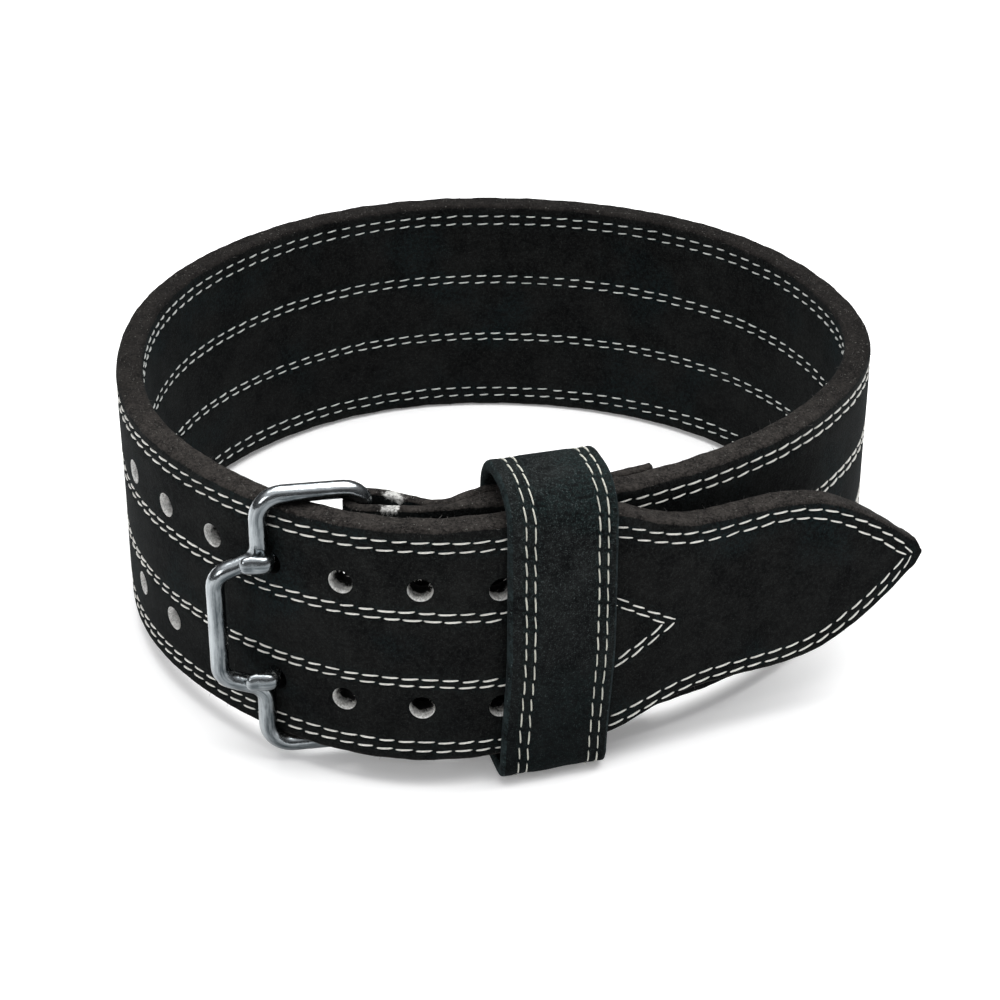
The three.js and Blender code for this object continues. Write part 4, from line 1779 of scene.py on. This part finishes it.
@dataclass
class Stitching:
    """All the stitches of one piece, each a short length of thread that dives in at both ends."""

    name: str
    length: float
    width: float = 0.74
    height: float = 0.86
    tilt: float = 0.085
    thread: Thread = STITCH_THREAD
    seed: int = 3

    def template(self) -> bpy.types.Mesh:
        """One stitch of unit size."""
        along = np.array((-0.5, -0.46, -0.36, -0.13, 0.13, 0.36, 0.46, 0.5))
        girth = np.array((0.25, 0.62, 0.95, 1.0, 1.0, 0.95, 0.62, 0.25))
        lift = 0.5 - 3.6 * np.abs(along) ** 3 * 1.6
        centres = np.stack((along, np.zeros_like(along), lift), -1)
        turns = np.linspace(0, 2 * math.pi, 7)
        places = np.empty((len(along), len(turns), 3))
        places[..., 0] = centres[:, None, 0]
        places[..., 1] = np.cos(turns)[None] * girth[:, None] * 0.5
        places[..., 2] = centres[:, None, 2] + np.sin(turns)[None] * girth[:, None] * 0.5
        spread = np.stack(np.broadcast_arrays((along + 0.5)[:, None], (turns / math.tau)[None]), -1)
        return to_mesh(grid_body(places, spread=spread), "one_stitch")

    def matrices(self, seats: Sequence[Seat]) -> Iterator[Matrix]:
        """Where each stitch goes, with small irregularities.

        Args:
            seats: The seats.

        Yields:
            A matrix for each.
        """
        draw = random.Random(self.seed)
        for seat in seats:
            length = self.length * draw.uniform(0.88, 1.06)
            width = self.width * draw.uniform(0.85, 1.12)
            yield seat_matrix(seat, self.tilt + draw.gauss(0, 0.035), (length, width, self.height))

    def build(self, seats: Sequence[Seat], placement: Placement) -> bpy.types.Object:
        """Sets the stitches.

        Args:
            seats: Where they sit.
            placement: Takes them to the frame.

        Returns:
            The piece.
        """
        body = scatter(self.template(), self.matrices(seats))
        return finish_piece(self.name, body, placement, (self.thread,))


@dataclass
class StrapSeats:
    """Seats of the strap's stitches on one face."""

    strap: Strap
    fold: FoldedEnd
    keeper: Keeper
    pitch: float = 7.55
    sunk: float = 0.7
    seed: int = 11
    first_shown: float = -73.0
    covered: tuple[float, float] = (238.0, 316.0)

    def shown(self, length: float, face: Face) -> bool:
        """Finds out whether a stitch would be seen.

        Args:
            length: Its length along the strap.
            face: Its face.

        Returns:
            Whether it is free of the layers that lie against it.
        """
        keeper, winding = self.keeper, self.strap.winding
        angle = winding.angle_at(length)
        if face is Face.OUTER:
            return angle > self.first_shown and not keeper.first + 1.5 < length < keeper.last - 1.5
        covered = self.covered[0] < angle < self.covered[1]
        over = winding.length_at(angle + TURN)
        return not covered and not (angle < 0 and keeper.first - 6 < over < keeper.last + 6)

    def depth(self, length: float, face: Face) -> float:
        """Works out how deep a face lies, the flap included.

        Args:
            length: Length along the strap.
            face: Which face.

        Returns:
            Its depth behind the strap's outer face.
        """
        if face is Face.OUTER:
            return 0.0
        thick = float(self.strap.thickness(length))
        return thick + PLY_THICK - CLEARANCE if length < self.fold.flap_end - 1 else thick

    def seats(self, face: Face) -> list[Seat]:
        """The seats, with small irregularities.

        Args:
            face: Which face.

        Returns:
            The seats.
        """
        draw = random.Random(self.seed + (face is Face.INNER))
        sign = 1 if face is Face.OUTER else -1
        found = []
        for line in self.strap.seams:
            stops = spaced(line, self.pitch)
            shift = draw.uniform(-0.4, 0.4) * self.pitch
            for here, after in zip(stops[:-1], stops[1:]):
                way = (after - here) / np.linalg.norm(after - here)
                length, height = (here + after) / 2 + way * shift * 0.2 + (0, draw.gauss(0, 0.12))
                if not self.shown(length, face):
                    continue
                depth = self.depth(length, face)
                spot = self.strap.winding.place(length, depth + sign * self.sunk, height)
                ahead = self.strap.winding.place(length + way[0], depth + sign * self.sunk, height + way[1])
                _, out = self.strap.winding.face(length)
                along = Vector(ahead - spot)
                found.append(Seat(Vector(spot), along, Vector((out[0] * sign, out[1] * sign, 0))))
        return found


@dataclass
class KeeperSeats:
    """Seats of the keeper's stitches, round the outside of its band."""

    keeper: Keeper
    pitch: float = 7.3
    sunk: float = 0.66
    far: float = 20.0

    def seats(self) -> list[Seat]:
        """Walks each line of stitches round the band.

        Returns:
            The seats.
        """
        keeper = self.keeper
        points, outs = keeper.loop()
        found = []
        for number, offset in enumerate(keeper.stitch_offsets):
            line, ways = [], []
            for (depth, height), (side, up) in zip(points, outs):
                front = max(0.0, -side)
                proud = keeper.thick + front * keeper.swell(height, offset) - self.sunk
                line.append(keeper.place(offset, depth + side * proud, height + up * proud))
                ways.append(keeper.place(offset, depth + side * self.far, height + up * self.far))
            line, ways = np.array(line), np.array(ways)
            run = run_along(line)
            count = round(run[-1] / self.pitch)
            for k in range(count):
                stop = (k + 0.5 * (number % 2) * 0.3) * run[-1] / count
                spot = np.array([np.interp(stop, run, line[:, i]) for i in range(3)])
                ahead = np.array([np.interp((stop + 0.6) % run[-1], run, line[:, i]) for i in range(3)])
                way = np.array([np.interp(stop, run, ways[:, i]) for i in range(3)]) - spot
                found.append(Seat(Vector(spot), Vector(ahead - spot), Vector(way)))
        return found


# Loose fibres


@dataclass
class LooseFibres:
    """Fine stray fibres that stand off a surface."""

    name: str
    finish: Finish
    length: tuple[float, float]
    thickness: float = 0.11
    seed: int = 29
    stray: float = 0.55

    def template(self) -> bpy.types.Mesh:
        """One curled fibre of unit length, with three sides."""
        up = np.linspace(0, 1, 5)
        centres = np.stack((0.16 * up**2, 0.1 * np.sin(up * 3), up), -1)
        radii = np.array((0.5, 0.45, 0.38, 0.28, 0.12)) * 0.1
        return to_mesh(grid_body(tube_places(centres, radii, (1, 0, 0), 3, False)), "one_fibre")

    def matrices(self, seats: Sequence[Seat]) -> Iterator[Matrix]:
        """Where each fibre goes: it stands roughly the way out of its seat.

        Args:
            seats: The seats.

        Yields:
            A matrix for each.
        """
        draw = random.Random(self.seed)
        for seat in seats:
            way = seat.out.normalized() + Vector([draw.gauss(0, self.stray) for _ in range(3)])
            turn = way.to_track_quat("Z", "Y").to_matrix().to_4x4()
            spin = Matrix.Rotation(draw.uniform(0, math.tau), 4, "Z")
            reach = draw.uniform(*self.length)
            thin = self.thickness * 10 * draw.uniform(0.6, 1.2)
            yield Matrix.Translation(seat.spot) @ turn @ spin @ Matrix.Diagonal((thin, thin, reach, 1))

    def build(self, seats: Sequence[Seat], placement: Placement) -> bpy.types.Object:
        """Sets the fibres.

        Args:
            seats: Where they sit; out is the way that they stand.
            placement: Takes them to the frame.

        Returns:
            The piece.
        """
        body = scatter(self.template(), self.matrices(seats))
        return finish_piece(self.name, body, placement, (self.finish,))


@dataclass
class FibreSeats:
    """Where the strap frays: its raw edges, its folded end and the lips of its holes."""

    strap: Strap
    fold: FoldedEnd
    buckle: Buckle
    seed: int = 41

    def edges(self, count: int) -> list[Seat]:
        """Draws places along both raw edges of the strap.

        Args:
            count: How many.

        Returns:
            The seats.
        """
        draw = random.Random(self.seed)
        found = []
        for _ in range(count):
            length = draw.uniform(self.strap.start + 10, self.strap.end - 2)
            half = float(self.strap.half_width(length))
            side = 1 if draw.random() < 0.75 else -1
            depth = draw.uniform(0.2, STRAP_THICK - 0.2)
            sunk = 0.5 if 1.5 < depth < STRAP_THICK - 1.5 else 1.6
            spot = self.strap.winding.place(length, depth, MIDDLE + side * (half - sunk))
            _, out = self.strap.winding.face(length)
            lean = 1.2 if depth < 3 else (-1.2 if depth > STRAP_THICK - 3 else 0.0)
            found.append(Seat(Vector(spot), Vector((0, 0, 1)), Vector((out[0] * lean, out[1] * lean, side))))
        return found

    def fold_top(self, count: int) -> list[Seat]:
        """Draws places on the upper edge of the fold beside the heel bar.

        Args:
            count: How many.

        Returns:
            The seats.
        """
        draw = random.Random(self.seed + 1)
        centres = self.fold.centres()
        heel = self.buckle.heel[0]
        begin, end = heel + self.fold.fluff_start + 3, heel + self.fold.fluff_end - 2
        near = [c for c in centres[len(centres) // 4 :] if begin < c[0] < end]
        found = []
        for _ in range(count):
            spot = near[draw.randrange(len(near))]
            x, y = spot[0] + draw.uniform(-1.8, 1.8), spot[1] + draw.uniform(-1.8, 1.8)
            found.append(Seat(Vector((x, y, STRAP_WIDTH - 0.4)), Vector((0, 0, 1)), Vector((0, 0, 1))))
        return found

    def hole_lips(self, each: int) -> list[Seat]:
        """Draws places round the inside of each open hole, most of them on its lower right.

        Args:
            each: How many in a hole.

        Returns:
            The seats.
        """
        draw = random.Random(self.seed + 2)
        found = []
        for length, height, filled in self.strap.hole_places():
            if filled:
                continue
            middle, out = self.strap.hole_axis(length, height)
            across = Vector((0, 0, 1)).cross(out)
            for _ in range(each):
                turn = draw.gauss(-0.9, 0.75) if draw.random() < 0.7 else draw.uniform(0, math.tau)
                ray = across * math.cos(turn) + Vector((0, 0, 1)) * math.sin(turn)
                depth = draw.uniform(0.5, 5.1)
                spot = middle + out * depth + ray * (self.strap.hole_diameter / 2 - 0.05)
                found.append(Seat(spot, out, out * 0.5 - ray))
        return found


# The studio


def looking(eye: Vector, aim: Vector) -> Matrix:
    """Matrix that puts a camera or lamp at one point, facing another."""
    return Matrix.Translation(eye) @ (aim - eye).to_track_quat("-Z", "Y").to_matrix().to_4x4()


@dataclass
class Studio:
    """The camera, the soft lights and the floor."""

    placement: Placement
    elevation: float = 30.31
    distance: float = 1064.6
    aim: tuple[float, float, float] = (2.0, -45.0, 50.8)
    lens_px: float = 2645.1
    frame_px: float = 1000.0
    sensor: float = 36.0
    light_aim: float = 0.05

    def camera(self) -> None:
        """Sets the camera at the photograph's viewing angle."""
        turn = math.radians(self.elevation)
        move = self.placement.matrix()
        aim = move @ Vector(self.aim)
        offset = Vector((0, -math.cos(turn), math.sin(turn))) * self.distance
        eye = move @ (Vector(self.aim) + offset)
        data = bpy.data.cameras.new("camera")
        data.sensor_width = self.sensor
        data.lens = self.lens_px / self.frame_px * self.sensor
        data.clip_start, data.clip_end = 0.01, 50
        camera = put_in("camera", data)
        camera.matrix_world = looking(eye, aim)
        bpy.context.scene.camera = camera

    def light(self, name: str, place: Sequence[float], size: Sequence[float], power: float) -> None:
        """Adds one soft panel that faces the belt.

        Args:
            name: Its name.
            place: Where it hangs, in metres.
            size: Its width and depth.
            power: Its power in watts.
        """
        data = bpy.data.lights.new(name, "AREA")
        data.shape = "RECTANGLE"
        data.size, data.size_y = size
        data.energy = power
        put_in(name, data).matrix_world = looking(Vector(place), Vector((0, 0, self.light_aim)))

    def world(self) -> None:
        """Sets a pale surround that is bright above and dimmer low down."""
        world = bpy.data.worlds.new("surround")
        world.use_nodes = True
        tree = world.node_tree
        tree.nodes.clear()
        kinds = ("TexCoord", "SeparateXYZ", "ValToRGB", "Background", "OutputWorld")
        coord, parts, ramp, glow, end = (tree.nodes.new("ShaderNode" + kind) for kind in kinds)
        stops = ramp.color_ramp.elements
        stops[0].position, stops[0].color = 0.0, (0.05, 0.053, 0.058, 1)
        stops[1].position, stops[1].color = 1.0, (1, 1, 1, 1)
        for position, tone in ((0.4, 0.09), (0.62, 0.28), (0.8, 0.95)):
            stop = stops.new(position)
            stop.color = (tone, tone, tone * 1.02, 1)
        tree.links.new(coord.outputs["Generated"], parts.inputs[0])
        tree.links.new(parts.outputs[2], ramp.inputs[0])
        tree.links.new(ramp.outputs[0], glow.inputs[0])
        tree.links.new(glow.outputs[0], end.inputs[0])
        glow.inputs["Strength"].default_value = 1.0
        bpy.context.scene.world = world

    def floor(self) -> None:
        """Lays the floor."""
        body = bmesh.new()
        bmesh.ops.create_grid(body, x_segments=2, y_segments=2, size=6.0)
        mesh = to_mesh(body, "floor")
        mesh.materials.append(FLOOR.material())
        put_in("floor", mesh)

    def build(self) -> None:
        """Sets up the whole studio."""
        self.camera()
        self.world()
        self.floor()
        self.light("overhead", (0.1, 0.2, 1.7), (2.2, 1.6), 46)
        self.light("front_left", (-1.5, -1.5, 1.25), (1.0, 0.8), 9)
        bpy.context.scene.view_settings.view_transform = "Standard"


def stand(winding: Winding, keeper: Keeper) -> Placement:
    """Leans the belt until it rests on its keeper's foot and its own edge at the back.

    Args:
        winding: The strap's plan.
        keeper: The keeper.

    Returns:
        The placement, not yet shifted.
    """
    back = winding.at(90.0)[1] - STRAP_EDGE
    front = winding.at(KEEPER_ANGLE + TURN)[1] + keeper.inside - keeper.foot_round
    return Placement(-math.atan2(keeper.drop + keeper.thick, back - front))


def main() -> None:
    """Builds the belt piece by piece, then the studio round it."""
    logging.basicConfig(level=logging.INFO, format="%(name)s: %(message)s")
    winding = Winding()
    buckle = Buckle(winding)
    strap = Strap(winding, buckle.hole_angle)
    fold = FoldedEnd(winding, strap, buckle)
    keeper = Keeper(winding)
    placement = stand(winding, keeper)
    placement.settle(buckle.frame_places(), "buckle_frame")
    strap.build(placement)
    fold.build(placement)
    keeper.build(placement)
    for piece in buckle.build(placement):
        log.info("%s is bent wire", piece.name)
    on_strap = StrapSeats(strap, fold, keeper)
    Stitching("stitches_outer", 7.05).build(on_strap.seats(Face.OUTER), placement)
    inner = Stitching("stitches_inner", 5.3, width=0.64, thread=DULL_THREAD, seed=5)
    inner.build(on_strap.seats(Face.INNER), placement)
    on_keeper = Stitching("stitches_keeper", 6.9, width=0.62, tilt=0.06, thread=SOILED_THREAD, seed=7)
    on_keeper.build(KeeperSeats(keeper).seats(), placement)
    frayed = FibreSeats(strap, fold, buckle)
    LooseFibres("edge_fibres", DARK_FIBRE, (0.8, 2.6), 0.2).build(frayed.edges(1500), placement)
    LooseFibres("fold_fibres", PALE_FIBRE, (0.4, 1.5), 0.13, 31).build(frayed.fold_top(50), placement)
    LooseFibres("hole_fibres", PALE_FIBRE, (0.6, 1.7), 0.2, 33).build(frayed.hole_lips(60), placement)
    Studio(placement).build()
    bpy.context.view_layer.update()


if __name__ == "__main__":
    main()
